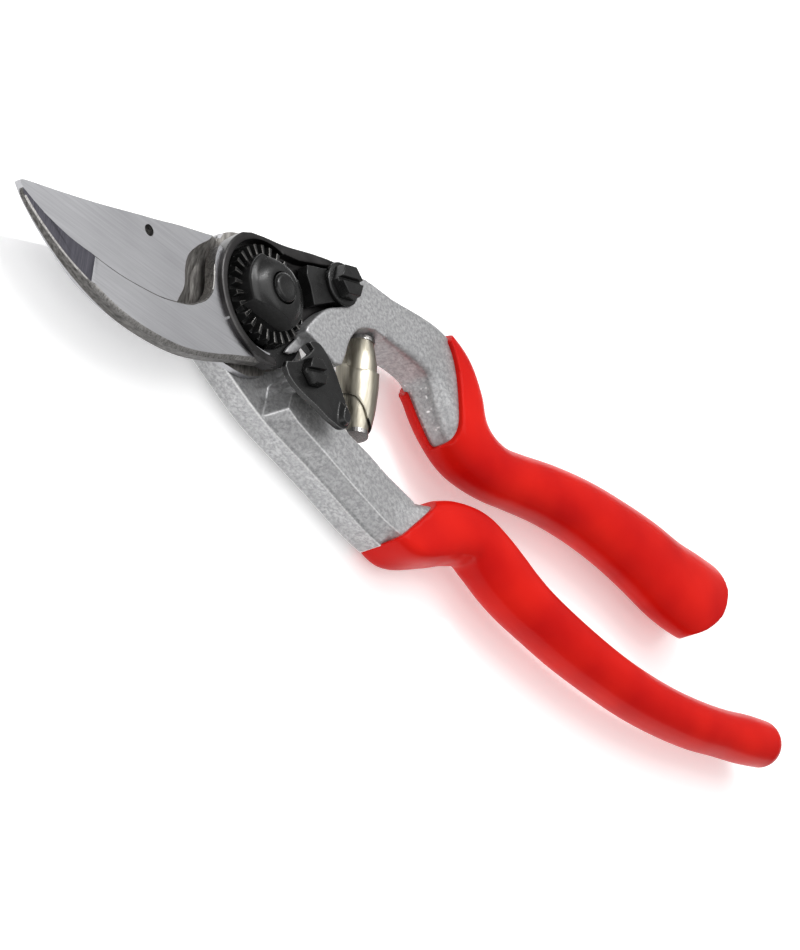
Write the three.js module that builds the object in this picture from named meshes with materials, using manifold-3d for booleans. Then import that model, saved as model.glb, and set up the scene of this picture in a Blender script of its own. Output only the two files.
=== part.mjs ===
// Bypass pruning shears, closed and latched. Millimetres, Z up.
// The centre bolt runs along Z through the origin; its flat head lies on z = 0.
// The jaws point to -X, the grips to +X; the short handle is on the +Y side.
import * as THREE from 'three';
import { mergeVertices } from 'three/addons/utils/BufferGeometryUtils.js';
import Module from 'manifold-3d';

// ---- driving sizes -------------------------------------------------------
const GAP = 0.3;                 // running clearance between neighbouring parts
const CLEAR = 40;                // reach of cutting bodies beyond the part

const BOLT_HEAD_R = 8.5;         // flat head on the back
const BOLT_HEAD_T = 2.2;
const BOLT_SHANK_R = 5.0;
const BOLT_THREAD_R = 3.3;       // threaded front end
const BUSH_R = BOLT_SHANK_R + 2.0;

const PLATE_Z0 = 2.5;            // back plate of the long handle
const PLATE_Z1 = 8.5;
const HUB_R = 15.7;

const BLADE_T = 3.2;             // cutting blade
const BLADE_HUB_T = 1.5;
const BLADE_Z0 = PLATE_Z1 + GAP;
const BLADE_Z1 = BLADE_Z0 + BLADE_T;
const SAP_HOLE_R = 1.3;
const SAP_HOLE_X = -32.8;
const SAP_HOLE_Y = -2.2;
const BLADE_SCREW = [6.2, -9.0]; // fixes the blade to the long handle, with a pin against turning
const BLADE_SCREW_R = 2.0;
const BLADE_PIN = [-9.8, -3.6];
const BLADE_PIN_R = 1.6;

const JAW_LENGTH = 69.0;         // pivot to tip
const TIP_TAPER = 4.8;           // degrees, thinning of both jaws beyond TIP_TAPER_X
const TIP_TAPER_X = -49.0;

const HOOK_Z0 = BLADE_Z1 + GAP;  // counter blade (hook)
const HOOK_T = 2.7;
const HOOK_Z1 = HOOK_Z0 + HOOK_T;
const TANG_T = 0.9;              // thin tang disc under the nut
const TANG_SCREWS = [[17.2, -1.4], [17.6, 4.6]];
const TANG_SCREW_R = 1.3;
const TANG_SCREW_T = 1.5;

const BOLT_TOP = HOOK_Z1 + 6.2;
const RAISED_Z1 = HOOK_Z1 - 2.0; // raised front part of the long handle

const NUT_R = 11.2;              // crown-toothed nut
const NUT_ROOT_T = 1.0;
const NUT_TOOTH_H = 1.7;
const NUT_TEETH = 26;
const NUT_DOME_R = 8.5;
const NUT_CROWN_H = 1.9;         // rounded top above the dome's straight wall
const NUT_TOP = BOLT_TOP - 0.9;
const NUT_FLAT = 5.8;            // centre to wrench flat

const RIM_BORE_R = NUT_R + 1.5;  // dished head of the short handle
const RIM_R = RIM_BORE_R + 1.8;
const HEAD_Z1 = HOOK_Z1 + 1.6;
const NOTCH_FROM = -74;          // degrees, open stretch of the rim for the catch
const NOTCH_TO = -13;

const ARM_Z = 12.1;              // mid height and half thickness of the short handle's arm
const ARM_HALF_T = 5.1;

const SEGMENT_T = 2.6;           // toothed locking segment
const SCREW_HEX_R = 4.1;         // slotted hex screws
const SCREW_HEX_T = 2.4;
const SCREW_SHANK_R = 1.5;
const SCREW_SLOT = 1.0;
const SEGMENT_SCREW = [20.5, 14.0];

const CATCH_PIVOT = [14.0, -12.6];
const CATCH_Z0 = HOOK_Z1 + 0.4;
const CATCH_T = 2.4;
const CATCH_CLEAR_R = RIM_R + 0.7; // the catch stays outside this radius, its nose excepted
const WASHER_R = 2.7;

const SPRING_TOP = [34.0, 9.4];  // ends of the spring's axis
const SPRING_BOTTOM = [35.9, -14.6];
const SPRING_Z = 12.0;
const SPRING_R_BIG = 5.6;
const SPRING_R_SMALL = 2.6;
const SPRING_STRIP_T = 0.65;
const SPRING_STRIP_W = 9.0;
const SPRING_TURNS = 2.6;
const SEAT_R = 3.4;
const SEAT_T = 1.0;
const SEAT_STEM = 2.0;           // lower seat's stem
const SEAT_STEM_R = 1.6;

const GRIP_Z = 10.5;             // mid height of both grips
const GRIP_SKIN = 1.2;           // thickness of the red coating
const GRIP_LENGTH = 200.2;       // pivot to the end of the long grip
const SHORT_GRIP_LENGTH = 172.5;
const LOFT_SIDES = 24;
const LOFT_STEPS = 34;

// ---- materials -----------------------------------------------------------
const look = (color, metalness, roughness) => ({ color, metalness, roughness });
const LOOKS = {
  aluminium: look(0xb9babc, 0.9, 0.45),
  steel: look(0xc2c2c6, 1.0, 0.3),
  black: look(0x1c1c1e, 0.7, 0.4),
  spring: look(0xc9c3b4, 1.0, 0.2),
  red: look(0xd8281c, 0.0, 0.25),
  rubber: look(0x222222, 0.0, 0.8),
};

// ---- solids --------------------------------------------------------------
const wasm = await Module();
wasm.setup();

// closed geometry -> manifold solid
function solid(geometry) {
  const bare = geometry.clone();
  bare.deleteAttribute('normal');
  bare.deleteAttribute('uv');
  const merged = mergeVertices(bare, 1e-4);
  return new wasm.Manifold(new wasm.Mesh({
    numProp: 3,
    vertProperties: new Float32Array(merged.attributes.position.array),
    triVerts: new Uint32Array(merged.index.array),
  }));
}

// manifold solid -> geometry
function geometryOf(body) {
  const mesh = body.getMesh();
  const geometry = new THREE.BufferGeometry();
  geometry.setAttribute('position', new THREE.BufferAttribute(mesh.vertProperties, 3));
  geometry.setIndex(new THREE.BufferAttribute(mesh.triVerts, 1));
  geometry.computeVertexNormals();
  return geometry;
}

const points = (list) => list.map(([x, y]) => new THREE.Vector2(x, y));

// smooth closed or open line through the given points
function smooth(list, divisions) {
  return new THREE.SplineCurve(points(list)).getPoints(divisions);
}

// flat plate between two heights, with an optional bevel kept inside the outline
function plate(outline, z0, z1, bevel = 0) {
  const shape = outline instanceof THREE.Shape ? outline : new THREE.Shape(outline);
  const geometry = new THREE.ExtrudeGeometry(shape, {
    depth: z1 - z0 - 2 * bevel,
    bevelEnabled: bevel > 0,
    bevelSize: bevel,
    bevelThickness: bevel,
    bevelOffset: -bevel,
    bevelSegments: 1,
    curveSegments: 12,
  });
  geometry.translate(0, 0, z0 + bevel);
  return solid(geometry);
}

function cylinder(radius, z0, z1, [x, y] = [0, 0], sides = 32) {
  const geometry = new THREE.CylinderGeometry(radius, radius, z1 - z0, sides);
  geometry.rotateX(Math.PI / 2);
  geometry.translate(x, y, (z0 + z1) / 2);
  return solid(geometry);
}

function box(x0, x1, y0, y1, z0, z1) {
  const geometry = new THREE.BoxGeometry(x1 - x0, y1 - y0, z1 - z0);
  geometry.translate((x0 + x1) / 2, (y0 + y1) / 2, (z0 + z1) / 2);
  return solid(geometry);
}

// body of revolution about Z from [radius, z] pairs that start and end on the axis
function turned(profile, [x, y] = [0, 0], sides = 40) {
  const geometry = new THREE.LatheGeometry(points(profile), sides);
  geometry.rotateX(Math.PI / 2);
  geometry.translate(x, y, 0);
  return solid(geometry);
}

// ring sector used for cutting, angles in degrees
function sector(r0, r1, from, to, z0, z1) {
  const shape = new THREE.Shape();
  const a = THREE.MathUtils.degToRad(from);
  const b = THREE.MathUtils.degToRad(to);
  shape.absarc(0, 0, r1, a, b, false);
  shape.absarc(0, 0, r0, b, a, true);
  shape.closePath();
  return plate(shape, z0, z1);
}

// ---- lofted handles ------------------------------------------------------
// A station is [x, y, half width, mid height, half thickness, squareness];
// squareness 2 is an ellipse, larger values approach a rectangle.
function stationCurve(stations) {
  const place = new THREE.CatmullRomCurve3(
    stations.map(([x, y, , z]) => new THREE.Vector3(x, y, z)), false, 'centripetal');
  const size = new THREE.CatmullRomCurve3(
    stations.map(([, , a, , b, n]) => new THREE.Vector3(a, b, n)), false, 'centripetal');
  return { place, size, last: stations.length - 1 };
}

function ring(centre, tangent, size, grow) {
  const side = new THREE.Vector2(-tangent.y, tangent.x).normalize();
  const ringPoints = [];
  for (let i = 0; i < LOFT_SIDES; i += 1) {
    const angle = (i / LOFT_SIDES) * 2 * Math.PI;
    const c = Math.cos(angle);
    const s = Math.sin(angle);
    const u = Math.sign(c) * Math.abs(c) ** (2 / size.z) * (size.x + grow);
    const v = Math.sign(s) * Math.abs(s) ** (2 / size.z) * (size.y + grow);
    ringPoints.push(new THREE.Vector3(centre.x + side.x * u, centre.y + side.y * u, centre.z + v));
  }
  return ringPoints;
}

// closed skin through the stations; grow fattens every section and the far end
function loft(stations, grow = 0, steps = LOFT_STEPS) {
  const { place, size, last } = stationCurve(stations);
  const positions = [];
  for (let k = 0; k <= steps; k += 1) {
    const t = k / steps;
    const centre = place.getPoint(t);
    const tangent = place.getTangent(t);
    const at = Math.min(t * last, last - 1e-9);
    const section = size.getPoint(at / last);
    if (k === steps) centre.addScaledVector(tangent, grow);
    ring(centre, tangent, section, grow).forEach((p) => positions.push(p.x, p.y, p.z));
  }
  const index = [];
  for (let k = 0; k < steps; k += 1) {
    for (let i = 0; i < LOFT_SIDES; i += 1) {
      const a = k * LOFT_SIDES + i;
      const b = k * LOFT_SIDES + ((i + 1) % LOFT_SIDES);
      index.push(a, a + LOFT_SIDES, b, b, a + LOFT_SIDES, b + LOFT_SIDES);
    }
  }
  for (let i = 1; i < LOFT_SIDES - 1; i += 1) {
    const end = steps * LOFT_SIDES;
    index.push(0, i, i + 1);
    index.push(end, end + i + 1, end + i);
  }
  const geometry = new THREE.BufferGeometry();
  geometry.setAttribute('position', new THREE.BufferAttribute(new Float32Array(positions), 3));
  geometry.setIndex(index);
  const body = solid(geometry);
  return body.volume() > 0 ? body : solid(flipped(geometry));
}

function flipped(geometry) {
  const inverse = geometry.clone();
  const index = inverse.index.array;
  for (let i = 0; i < index.length; i += 3) {
    [index[i], index[i + 1]] = [index[i + 1], index[i]];
  }
  return inverse;
}

const SHORT_STRETCH = (SHORT_GRIP_LENGTH - 92) / (172.5 - 92);
const shortX = (x) => 92 + (x - 92) * SHORT_STRETCH;
const LONG_STRETCH = (GRIP_LENGTH - 104) / (200.2 - 104);
const longX = (x) => 104 + (x - 104) * LONG_STRETCH;

// short handle: straight arm, drop at the shoulder, then a widening palm grip
const SHORT_ARM = [
  [24, 14.4, 5.6, ARM_Z, ARM_HALF_T, 8],
  [32, 15.0, 5.3, ARM_Z, ARM_HALF_T, 8],
  [42, 15.4, 5.3, ARM_Z, ARM_HALF_T, 8],
  [50, 15.9, 5.8, ARM_Z, ARM_HALF_T, 7],
  [55.8, 16.0, 7.2, ARM_Z - 0.2, ARM_HALF_T, 6],
  [61, 13.6, 8.4, ARM_Z - 0.5, ARM_HALF_T + 0.1, 4],
  [65.5, 9.4, 8.5, ARM_Z - 0.9, ARM_HALF_T + 0.2, 3.2],
  [69.5, 5.8, 8.0, ARM_Z - 1.2, 5.4, 2.6],
  [73.8, 3.4, 7.1, GRIP_Z + 0.1, 5.4, 2.3],
  [79, 2.4, 6.1, GRIP_Z, 5.4, 2.1],
  [85, 2.6, 5.6, GRIP_Z, 5.3, 2],
  [92, 4.2, 5.6, GRIP_Z, 5.3, 2],
];
const SHORT_PALM = [
  [104, 7.2, 6.1, GRIP_Z, 5.6, 2],
  [117, 9.3, 6.9, GRIP_Z, 5.8, 2],
  [130, 10.1, 7.8, GRIP_Z, 5.9, 2],
  [142, 9.9, 8.8, GRIP_Z, 5.9, 2.1],
  [153, 9.2, 9.5, GRIP_Z, 5.8, 2.1],
  [162, 9.6, 9.9, GRIP_Z, 5.5, 2.1],
  [170, 10.4, 9.9, GRIP_Z, 4.8, 2.1],
  [178, 11.0, 9.9, GRIP_Z, 4.2, 2.1],
].map(([x, ...rest]) => [shortX(x), ...rest]);

// long handle: from the flat head plate through a waist to a slim, upturned grip
const LONG_SHANK = [
  [44, -23.8, 4.6, 7.9, 5.0, 6],
  [50, -25.6, 4.9, 7.9, 5.1, 6],
  [57, -26.6, 6.2, 8.0, 5.6, 5],
  [64.5, -23.4, 5.9, 9.0, 5.6, 3.2],
  [71, -20.0, 5.8, 9.8, 5.6, 2.6],
  [78, -18.1, 5.6, GRIP_Z, 5.5, 2.2],
  [84.4, -19.4, 6.4, GRIP_Z, 5.6, 2],
  [90.6, -21.6, 6.6, GRIP_Z, 5.6, 2],
  [96.7, -23.5, 6.2, GRIP_Z, 5.5, 2],
];
const LONG_PALM = [
  [104.4, -25.0, 5.6, GRIP_Z, 5.4, 2],
  [116.7, -26.5, 5.3, GRIP_Z, 5.4, 2],
  [130.6, -27.2, 4.9, GRIP_Z, 5.3, 2],
  [143, -27.0, 4.8, GRIP_Z, 5.3, 2],
  [155, -25.8, 4.7, GRIP_Z, 5.3, 2],
  [167.5, -23.6, 4.7, GRIP_Z, 5.2, 2],
  [178, -20.9, 4.6, GRIP_Z, 5.0, 2],
  [187.5, -17.9, 4.6, GRIP_Z, 4.8, 2],
  [194.5, -15.7, 4.2, GRIP_Z, 4.3, 2],
  [198.2, -14.6, 2.9, GRIP_Z, 3.0, 2],
  [199.4, -14.3, 1.2, GRIP_Z, 1.2, 2],
].map(([x, ...rest]) => [longX(x), ...rest]);

const SHORT_HANDLE = [...SHORT_ARM, ...SHORT_PALM];

// moves every corner of a counter-clockwise outline outwards
function widened(outline, by) {
  return outline.map(([x, y], i) => {
    const [px, py] = outline[(i + outline.length - 1) % outline.length];
    const [nx, ny] = outline[(i + 1) % outline.length];
    const before = new THREE.Vector2(y - py, px - x).normalize();
    const after = new THREE.Vector2(ny - y, x - nx).normalize();
    const corner = before.add(after).normalize();
    const stretch = by / corner.dot(after);
    return [x + corner.x * stretch, y + corner.y * stretch];
  });
}

// the palm grip is cut off on a slant; the cut moves out with the skin
function shortBody(grow) {
  const outline = [[0, -CLEAR], [140, -CLEAR], [154, -5.6], [163.5, 0.4], [169.8, 6.6],
    [172.2, 13.0], [171.6, 17.0], [168.4, 20.4], [150, CLEAR], [0, CLEAR]]
    .map(([x, y]) => [shortX(x), y]);
  const keep = plate(points(widened(outline, grow - GRIP_SKIN)), -CLEAR, CLEAR);
  return loft(SHORT_HANDLE, grow).intersect(keep);
}

const LONG_HANDLE = [...LONG_SHANK, ...LONG_PALM];

// ---- short handle --------------------------------------------------------
// outline of the dished head with the web that carries the arm
function headOutline() {
  const shape = new THREE.Shape();
  const start = THREE.MathUtils.degToRad(112);
  const end = THREE.MathUtils.degToRad(352);
  shape.absarc(0, 0, RIM_R, start, end, false);
  shape.lineTo(21.8, -5.4);
  shape.splineThru(points([[23.8, -4.6], [24.6, -1.5], [25.6, 3.0], [28.5, 7.4], [32.0, 9.7]]));
  shape.lineTo(36, 9.7);
  shape.lineTo(36, 20.3);
  shape.lineTo(22, 20.0);
  shape.closePath();
  return shape;
}

function pocketOutline() {
  return points([[9.2, 9.2], [9.9, 5], [14.2, 1.8], [18.4, 6.2], [24.2, 9.8],
    [25.8, 13.0], [25.2, 17.0], [22.6, 18.9], [19.6, 18.6], [8.5, 14.2]]);
}

function upperHandle() {
  const head = plate(headOutline(), HOOK_Z0, HEAD_Z1, 0.8);
  const web = plate(points([[25, 4.6], [30, 9.8], [36, 9.8], [36, 20.2], [24, 19.6]]),
    ARM_Z - ARM_HALF_T, HEAD_Z1);
  const bore = cylinder(RIM_BORE_R, 0, CLEAR, [0, 0], 56);
  const notch = sector(RIM_BORE_R - 1, 18, NOTCH_FROM, NOTCH_TO, HOOK_Z0 - 1, HEAD_Z1 + 1);
  const pocket = plate(pocketOutline(), HEAD_Z1 - SEGMENT_T - 0.2, CLEAR);
  const pocketScrew = cylinder(SCREW_SHANK_R + GAP, HEAD_Z1 - 5, CLEAR, SEGMENT_SCREW, 20);
  return head.add(web).add(shortBody(0))
    .subtract(hookRoom())
    .subtract(bore)
    .subtract(notch)
    .subtract(pocket)
    .subtract(pocketScrew)
    .subtract(tangScrewHoles(GAP));
}

// border of the coating on the short handle, seen from the front: a round tongue of bare metal
function shortBorder() {
  return smooth([[40, 30], [57, 23.6], [60.5, 18.5], [63.5, 12.5], [66, 6.5], [66.4, 2.0],
    [64.5, -1.0], [60.5, -0.6], [57.5, 2.6], [52, 7.5], [40, 9.0]], 40);
}

function upperGrip() {
  const skin = shortBody(GRIP_SKIN).subtract(shortBody(GAP));
  const keep = plate(points([[56.5, 30], [60.5, 12], [57.5, 2.8], [52.2, 7.0], [52.2, -20],
    [220, -20], [220, 40], [56.5, 40]]), -CLEAR, CLEAR);
  const frontTongue = plate(shortBorder(), ARM_Z + 2.0, CLEAR);
  return skin.intersect(keep).subtract(frontTongue);
}

// ---- counter blade -------------------------------------------------------
const jaw = (list) => list.map(([x, y]) => [x < -20 ? -20 + (x + 20) * (JAW_LENGTH - 20) / 49 : x, y]);

function hookOutline() {
  const outer = smooth(jaw([[-69.0, -14.2], [-68.5, -15.9], [-63.5, -19.5], [-56.4, -23.4],
    [-49.3, -26.0], [-42.1, -27.6], [-35.7, -28.0], [-27.8, -27.4], [-20.5, -25.9],
    [-13.1, -23.0], [-5.9, -19.4], [0.6, -16.4], [6.0, -14.0]]), 40);
  const arc = [];
  for (let degrees = -62; degrees <= 118; degrees += 9) {
    const angle = THREE.MathUtils.degToRad(degrees);
    arc.push(new THREE.Vector2(CATCH_CLEAR_R * Math.cos(angle), CATCH_CLEAR_R * Math.sin(angle)));
  }
  const inner = smooth(jaw([[-13.6, 6.9], [-15.6, 2.6], [-15.9, -1.6], [-15.4, -5.2],
    [-15.6, -8.0], [-17.0, -10.9], [-19.2, -13.0], [-22.0, -15.0], [-28.8, -17.5],
    [-34.5, -18.6], [-41.6, -19.4], [-48.8, -19.4], [-55.9, -18.8], [-63.1, -17.0],
    [-69.0, -14.2]]), 40);
  inner.pop();
  return [...outer, ...arc, ...inner];
}

// wedge that thins a jaw towards its tip, above (way 1) or below (way -1) the height z
function tipRelief(z, way) {
  const slab = way > 0 ? box(-60, 0, -60, 60, 0, 20) : box(-60, 0, -60, 60, -20, 0);
  return slab.rotate([0, -way * TIP_TAPER, 0]).translate([TIP_TAPER_X, 0, z]);
}

// space taken out of the head for the hook and its tang
function hookRoom() {
  const left = box(-40, 8, -40, 40, HOOK_Z0 - 1, HOOK_Z1 + GAP);
  const tail = plate(tangTailOutline(GAP), HOOK_Z0 - 1, HOOK_Z0 + TANG_T + GAP);
  const round = cylinder(RIM_R + 1.0, HOOK_Z0 - 1, HOOK_Z1 + GAP, [0, 0], 56)
    .intersect(box(-40, 11, -40, 40, 0, CLEAR));
  return left.intersect(cylinder(26, 0, CLEAR)).subtract(box(-1, 40, 4, 40, 0, CLEAR)).add(tail).add(round);
}

function tangTailOutline(grow) {
  return points([[4, -9 - grow], [21 + grow, -3.5 - grow], [21 + grow, 8.5 + grow],
    [4, 11.5 + grow]]);
}

function tangScrewHoles(grow) {
  return TANG_SCREWS
    .map((at) => cylinder(TANG_SCREW_R + grow, HOOK_Z0 - 1, HOOK_Z0 + TANG_SCREW_T + grow, at, 16))
    .reduce((all, one) => all.add(one));
}

function counterBlade() {
  const body = plate(hookOutline(), HOOK_Z0, HOOK_Z1)
    .intersect(box(-100, 10.5, -40, 3.6, 0, CLEAR));
  const disc = cylinder(RIM_BORE_R - GAP, HOOK_Z0, HOOK_Z0 + TANG_T, [0, 0], 48);
  const tail = plate(tangTailOutline(0), HOOK_Z0, HOOK_Z0 + TANG_T);
  const dish = cylinder(RIM_BORE_R, HOOK_Z0 + TANG_T, CLEAR, [0, 0], 48);
  const notchStep = sector(1, 22, NOTCH_FROM, NOTCH_TO + 40, HOOK_Z0 + TANG_T, CLEAR);
  return body.subtract(dish).subtract(notchStep).subtract(tipRelief(HOOK_Z1, 1)).add(disc).add(tail)
    .subtract(cylinder(BOLT_THREAD_R + GAP, 0, CLEAR))
    .subtract(tangScrewHoles(GAP));
}

function tangScrew(at) {
  const z = HOOK_Z0;
  return turned([[0, z], [TANG_SCREW_R, z], [TANG_SCREW_R, z + TANG_SCREW_T], [0, z + TANG_SCREW_T]],
    at, 20);
}

// ---- pivot group ---------------------------------------------------------
function pivotBolt() {
  return turned([[0, 0], [BOLT_HEAD_R - 0.4, 0], [BOLT_HEAD_R, 0.4], [BOLT_HEAD_R, BOLT_HEAD_T],
    [BOLT_SHANK_R, BOLT_HEAD_T], [BOLT_SHANK_R, HOOK_Z0 - GAP], [BOLT_THREAD_R, HOOK_Z0 - GAP],
    [BOLT_THREAD_R, BOLT_TOP - 0.5], [BOLT_THREAD_R - 0.6, BOLT_TOP], [0, BOLT_TOP]]);
}

function pivotBush() {
  const outer = cylinder(BUSH_R, PLATE_Z0 + 0.2, PLATE_Z1, [0, 0], 40);
  return outer.subtract(cylinder(BOLT_SHANK_R + GAP, 0, CLEAR, [0, 0], 40));
}

// flange with radial crown teeth, low dome with two wrench flats, threaded bore
function toothedNut() {
  const z0 = HOOK_Z0 + TANG_T + GAP;
  const z1 = z0 + NUT_ROOT_T;
  const wall = NUT_TOP - NUT_CROWN_H;
  const dome = turned([[0, z0], [NUT_R, z0], [NUT_R, z1], [NUT_DOME_R, z1], [NUT_DOME_R, wall],
    [NUT_DOME_R - 0.6, wall + 0.4], [NUT_DOME_R - 2.2, wall + 1.3], [NUT_DOME_R - 4.0, NUT_TOP],
    [0, NUT_TOP]], [0, 0], 48);
  const flats = [0, 180].map((turn) => (
    box(-CLEAR, CLEAR, NUT_FLAT, CLEAR, z1 + 0.2, CLEAR).rotate([0, 0, turn])));
  const tooth = plate(points([[NUT_DOME_R - 0.4, -0.4], [NUT_R, -0.75], [NUT_R, 0.75],
    [NUT_DOME_R - 0.4, 0.4]]), z1 - 0.2, z1 + NUT_TOOTH_H);
  let nut = dome.subtract(flats[0]).subtract(flats[1]);
  for (let i = 0; i < NUT_TEETH; i += 1) {
    nut = nut.add(tooth.rotate([0, 0, (i * 360) / NUT_TEETH]));
  }
  return nut.subtract(cylinder(BOLT_THREAD_R + GAP, 0, CLEAR));
}

// locking segment: toothed tail beside the nut, round eye under the screw
function toothedSegment() {
  const z0 = HEAD_Z1 - SEGMENT_T + 0.1;
  const outline = points([[11.4, 8.2], [13.4, 4.0], [18.2, 8.0], [22.5, 10.2], [24.6, 13.2],
    [23.6, 16.6], [20.6, 17.6], [9.4, 12.6], [9.6, 10.4]]);
  const step = cylinder(4.0, z0, HEAD_Z1 + 1.2, SEGMENT_SCREW, 28);
  const body = plate(outline, z0, HEAD_Z1 + 0.4, 0.4).add(step);
  let teeth = body;
  for (let degrees = 22; degrees <= 50; degrees += 7) {
    const groove = box(NUT_R - 1, NUT_R + 2.2, -0.35, 0.35, z0 - 1, z0 + 1.2).rotate([0, 0, degrees]);
    teeth = teeth.subtract(groove);
  }
  return teeth.subtract(cylinder(NUT_R + GAP, 0, CLEAR, [0, 0], 48))
    .subtract(cylinder(SCREW_SHANK_R + GAP, 0, CLEAR, SEGMENT_SCREW, 20));
}

// slotted hex screw whose head rests at height z
function slottedHexScrew(at, z, depth, turn) {
  const [x, y] = at;
  const head = solid(new THREE.CylinderGeometry(SCREW_HEX_R - 0.3, SCREW_HEX_R, SCREW_HEX_T, 6)
    .rotateX(Math.PI / 2)).rotate([0, 0, turn]).translate([x, y, z + SCREW_HEX_T / 2]);
  const slot = box(-8, 8, -SCREW_SLOT / 2, SCREW_SLOT / 2, z + SCREW_HEX_T - 1.1, CLEAR)
    .rotate([0, 0, turn]).translate([x, y, 0]);
  const shank = cylinder(SCREW_SHANK_R, z - depth, z + 0.5, at, 20);
  return head.subtract(slot).add(shank);
}

// ---- cutting blade -------------------------------------------------------
function bladeOutline() {
  const back = smooth(jaw([[-69.0, -12.2], [-67.1, -11.2], [-57.8, -8.2], [-47.1, -4.5],
    [-37.1, -0.2], [-26.4, 3.6], [-17.1, 7.4], [-11.0, 10.6]]), 30);
  const edge = smooth(jaw([[-6, -14.4], [-14, -19.2], [-22, -22.6], [-32, -24.6], [-42, -24.4],
    [-51, -22.2], [-60, -18.4], [-66, -14.9], [-69.0, -12.2]]), 30);
  edge.pop();
  const hub = [];
  for (let degrees = 130; degrees >= -110; degrees -= 10) {
    const angle = THREE.MathUtils.degToRad(degrees);
    hub.push(new THREE.Vector2((HUB_R - 0.3) * Math.cos(angle), (HUB_R - 0.3) * Math.sin(angle)));
  }
  return [...back, ...hub, ...edge];
}

function cuttingBlade() {
  const recess = smooth([[-12.5, 20], [-15.3, 6.3], [-18.5, 2.7], [-20.8, -0.9], [-21.3, -4.5],
    [-20.8, -8.7], [-21.8, -12.3], [-19, -19], [-6, -30]], 36);
  recess.push(new THREE.Vector2(40, -30), new THREE.Vector2(40, 20));
  const grind = plate(bladeOutline(), BLADE_Z0, BLADE_Z1);
  return grind
    .subtract(plate(recess, BLADE_Z0 + BLADE_HUB_T, CLEAR))
    .subtract(tipRelief(BLADE_Z0, -1))
    .subtract(cylinder(BOLT_SHANK_R + GAP, 0, CLEAR))
    .subtract(cylinder(SAP_HOLE_R, 0, CLEAR, [SAP_HOLE_X, SAP_HOLE_Y], 20))
    .subtract(cylinder(BLADE_SCREW_R + GAP, 0, CLEAR, BLADE_SCREW, 20))
    .subtract(cylinder(BLADE_PIN_R + GAP, 0, CLEAR, BLADE_PIN, 20));
}

function bladeScrew() {
  const top = BLADE_Z0 + BLADE_HUB_T + GAP;
  const headR = BLADE_SCREW_R + 1.4;
  return turned([[0, PLATE_Z0 + 0.5], [BLADE_SCREW_R, PLATE_Z0 + 0.5], [BLADE_SCREW_R, top],
    [headR, top], [headR, top + 0.9], [headR - 0.6, top + 1.3], [0, top + 1.3]], BLADE_SCREW, 28);
}

function bladePin() {
  return cylinder(BLADE_PIN_R, PLATE_Z0 + 0.5, BLADE_Z0 + BLADE_HUB_T, BLADE_PIN, 20);
}

// ---- long handle ---------------------------------------------------------
// back plate: round boss about the bolt, drawn out to the shank
function plateOutline() {
  const boss = [];
  for (let degrees = 20; degrees <= 238; degrees += 8) {
    const angle = THREE.MathUtils.degToRad(degrees);
    boss.push(new THREE.Vector2(HUB_R * Math.cos(angle), HUB_R * Math.sin(angle)));
  }
  const outer = smooth([[-6.4, -15.6], [3.6, -20.3], [9.6, -22.7], [15.3, -24.2], [30.3, -27.7],
    [40.3, -30.4], [46, -31.8], [50.8, -31.8]], 20);
  const inner = smooth([[50.8, -20.2], [46.3, -18.6], [39.9, -16.8], [32.9, -15.6], [27.6, -13.0],
    [23.8, -8.4], [19.6, -1.0], [16.4, 3.6]], 20);
  return [...boss, ...outer, ...inner];
}

function raisedOutline() {
  return points([[13.0, -20.0], [14.0, -15.6], [16.6, -8.6], [23.6, -8.6], [27.6, -13.0],
    [32.9, -15.6], [39.9, -16.9], [46.3, -18.7], [54, -21.0], [54, -29.4], [47.2, -29.4],
    [36.3, -26.6], [26.3, -23.7], [17, -21.2]]);
}

// sloping face between the outer wall and the raised top
function slopeOutline() {
  return points([[9.8, -22.6], [13.4, -16.0], [20, -14], [48, -22], [52.2, -24], [52.2, -31.0],
    [50, -31.6], [40.3, -29.7], [30.3, -27.0], [15.3, -23.6]]);
}

function lowerHandle() {
  const base = plate(plateOutline(), PLATE_Z0, PLATE_Z1, 0.4);
  const slope = plate(slopeOutline(), PLATE_Z1 - 1, RAISED_Z1 - 1.6, 1.4);
  const raised = plate(raisedOutline(), PLATE_Z1 - 1, RAISED_Z1, 0.6);
  const boltHole = cylinder(BUSH_R + GAP, 0, CLEAR, [0, 0], 40);
  const boltHead = cylinder(BOLT_HEAD_R + GAP, 0, PLATE_Z0 + 0.1, [0, 0], 40);
  const hubRoom = cylinder(HUB_R + 0.5, PLATE_Z1 + 0.05, CLEAR, [0, 0], 64);
  return base.add(slope).add(raised).add(loft(LONG_HANDLE))
    .subtract(hubRoom)
    .subtract(boltHole)
    .subtract(boltHead)
    .subtract(cylinder(BLADE_SCREW_R + GAP, 0, CLEAR, BLADE_SCREW, 20))
    .subtract(cylinder(BLADE_PIN_R + GAP, 0, CLEAR, BLADE_PIN, 20))
    .subtract(cylinder(SCREW_SHANK_R + GAP, PLATE_Z0 + 3, CLEAR, CATCH_PIVOT, 20));
}

function lowerGrip() {
  const skin = loft(LONG_HANDLE, GRIP_SKIN).subtract(loft(LONG_HANDLE, GAP));
  const keep = plate(points([[50, -50], [51.9, -33], [57.8, -26.5], [62.6, -18.5], [64, 0],
    [220, 0], [220, -50]]), -CLEAR, CLEAR);
  return skin.intersect(keep);
}

// ---- catch ---------------------------------------------------------------
function catchOutline() {
  return [
    ...smooth([[12.9, -5.9], [14.2, -4.9], [16.2, -4.7], [18.7, -6.0], [20.7, -8.3], [22.9, -11.0],
      [25.6, -13.8], [27.4, -16.2], [27.4, -18.4], [26, -20.2], [23.8, -21.3], [20.7, -21.2],
      [14.7, -20.0], [11.4, -19.0], [9.2, -17.8]], 40),
    ...points([[8.9, -15.6], [9.6, -11.0]]),
  ];
}

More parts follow.
